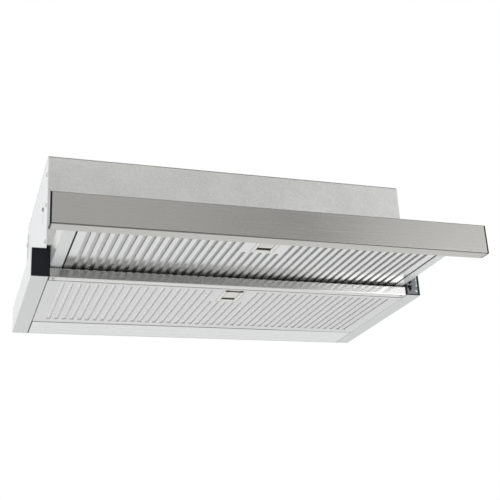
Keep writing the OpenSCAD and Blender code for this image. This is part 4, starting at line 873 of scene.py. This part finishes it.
def makeFloor(look):
    bm = bmesh.new()
    bmesh.ops.create_grid(bm, x_segments=1, y_segments=1, size=look["floorSize"] / 2)
    middleY = look["floorFront"] + look["floorSize"] / 2
    bmesh.ops.translate(bm, verts=bm.verts[:], vec=(0, middleY, look["floorZ"]))
    mesh = bpy.data.meshes.new("studio_floor")
    bm.to_mesh(mesh)
    bm.free()
    floor = bpy.data.objects.new("studio_floor", mesh)
    scene.collection.objects.link(floor)
    material = bpy.data.materials.new("floor_paper")
    material.use_nodes = True
    tree = material.node_tree
    shader = tree.nodes["Principled BSDF"]
    shader.inputs["Base Color"].default_value = look["floorColour"]
    shader.inputs["Roughness"].default_value = look["floorRoughness"]
    path = put(tree, "ShaderNodeLightPath")
    seen = mathNode(tree, "MAXIMUM", path.outputs["Is Camera Ray"], path.outputs["Is Glossy Ray"])
    glow = put(tree, "ShaderNodeEmission", Color=white, Strength=look["floorGlow"])
    blend = put(tree, "ShaderNodeMixShader")
    plug(tree, blend.inputs[0], mathNode(tree, "MULTIPLY", seen, look["floorShare"]))
    plug(tree, blend.inputs[1], shader.outputs[0])
    plug(tree, blend.inputs[2], glow.outputs[0])
    tree.links.new(blend.outputs[0], tree.nodes["Material Output"].inputs["Surface"])
    mesh.materials.append(material)


def makeWorld(look):
    # white to the camera, even to diffuse light; only mirrored rays see the greys and the dark floor
    world = bpy.data.worlds.new("studio_world")
    scene.world = world
    world.use_nodes = True
    tree = world.node_tree
    tree.nodes.clear()
    direction = put(tree, "ShaderNodeTexCoord").outputs["Generated"]
    parts = put(tree, "ShaderNodeSeparateXYZ", Vector=direction)
    ramp = put(tree, "ShaderNodeValToRGB")
    stops = ramp.color_ramp.elements
    while len(stops) < len(frontGreys):
        stops.new(0.5)
    for stop, (place, grey) in zip(stops, frontGreys):
        stop.position = place
        stop.color = (grey, grey, grey, 1)
    across = mathNode(tree, "MULTIPLY_ADD", parts.outputs["X"], 0.5)
    across.node.inputs[2].default_value = 0.5
    plug(tree, ramp.inputs[0], across)
    inFront = mapRange(tree, parts.outputs["Y"], -0.75, -0.35, 1.0, 0.0)
    belowRoof = mapRange(tree, parts.outputs["Z"], 0.75, 0.55, 0.0, 1.0)
    nearFloor = mapRange(tree, parts.outputs["Z"], 0.20, 0.05, 0.0, 1.0)
    overhead = mapRange(tree, parts.outputs["Z"], 0.6, 0.85, 0.0, 1.0)
    left = mapRange(tree, parts.outputs["X"], 0.33, 0.40, 1.0, 0.0)
    roof = mixColour(tree, overhead, white, look["roofGrey"])
    wall = mixColour(tree, mathNode(tree, "MULTIPLY", inFront, belowRoof), roof, ramp.outputs[0])
    low = mathNode(tree, "MULTIPLY", mathNode(tree, "MULTIPLY", inFront, nearFloor), left)
    mirrored = mixColour(tree, low, wall, look["lowGrey"])
    path = put(tree, "ShaderNodeLightPath")
    shine = mathNode(tree, "MAXIMUM", path.outputs["Is Glossy Ray"], path.outputs["Is Transmission Ray"])
    level = look["worldLevel"]
    colour = mixColour(tree, shine, (level, level, level, 1), mirrored)
    colour = mixColour(tree, path.outputs["Is Camera Ray"], colour, white)
    background = put(tree, "ShaderNodeBackground", Color=colour, Strength=1.0)
    out = put(tree, "ShaderNodeOutputWorld")
    tree.links.new(background.outputs[0], out.inputs["Surface"])


lampLooks = {
    "key_right": {"place": (1.5, -2.05, -0.35), "aim": (0.1, -0.3, 0.05), "size": 1.75, "power": 10.5},
    "fill_left": {"place": (-2.0, -0.8, 0.3), "aim": (-0.2, -0.2, 0.1), "size": 1.2, "power": 10},
    "top_soft": {"place": (0.2, -0.6, 1.9), "aim": (0, -0.2, 0.1), "size": 2.4, "power": 8},
}


def makeLamps():
    for name, look in lampLooks.items():
        lamp = bpy.data.lights.new(name, "AREA")
        lamp.shape = "SQUARE"
        lamp.size = look["size"]
        lamp.energy = look["power"]
        holder = bpy.data.objects.new(name, lamp)
        scene.collection.objects.link(holder)
        holder.location = look["place"]
        facing = Vector(look["aim"]) - Vector(look["place"])
        holder.rotation_euler = facing.to_track_quat("-Z", "Y").to_euler()


def makeCamera(look):
    lens = bpy.data.cameras.new("camera")
    lens.lens = look["lens"]
    lens.sensor_width = look["sensor"]
    lens.shift_x, lens.shift_y = look["shift"]
    lens.clip_start = 0.01
    camera = bpy.data.objects.new("camera", lens)
    scene.collection.objects.link(camera)
    camera.location = look["cameraPlace"]
    camera.rotation_euler = [radians(a) for a in look["cameraTurn"]]
    scene.camera = camera


makeFloor(studio)
makeWorld(studio)
makeLamps()
makeCamera(studio)
print("studio ready")
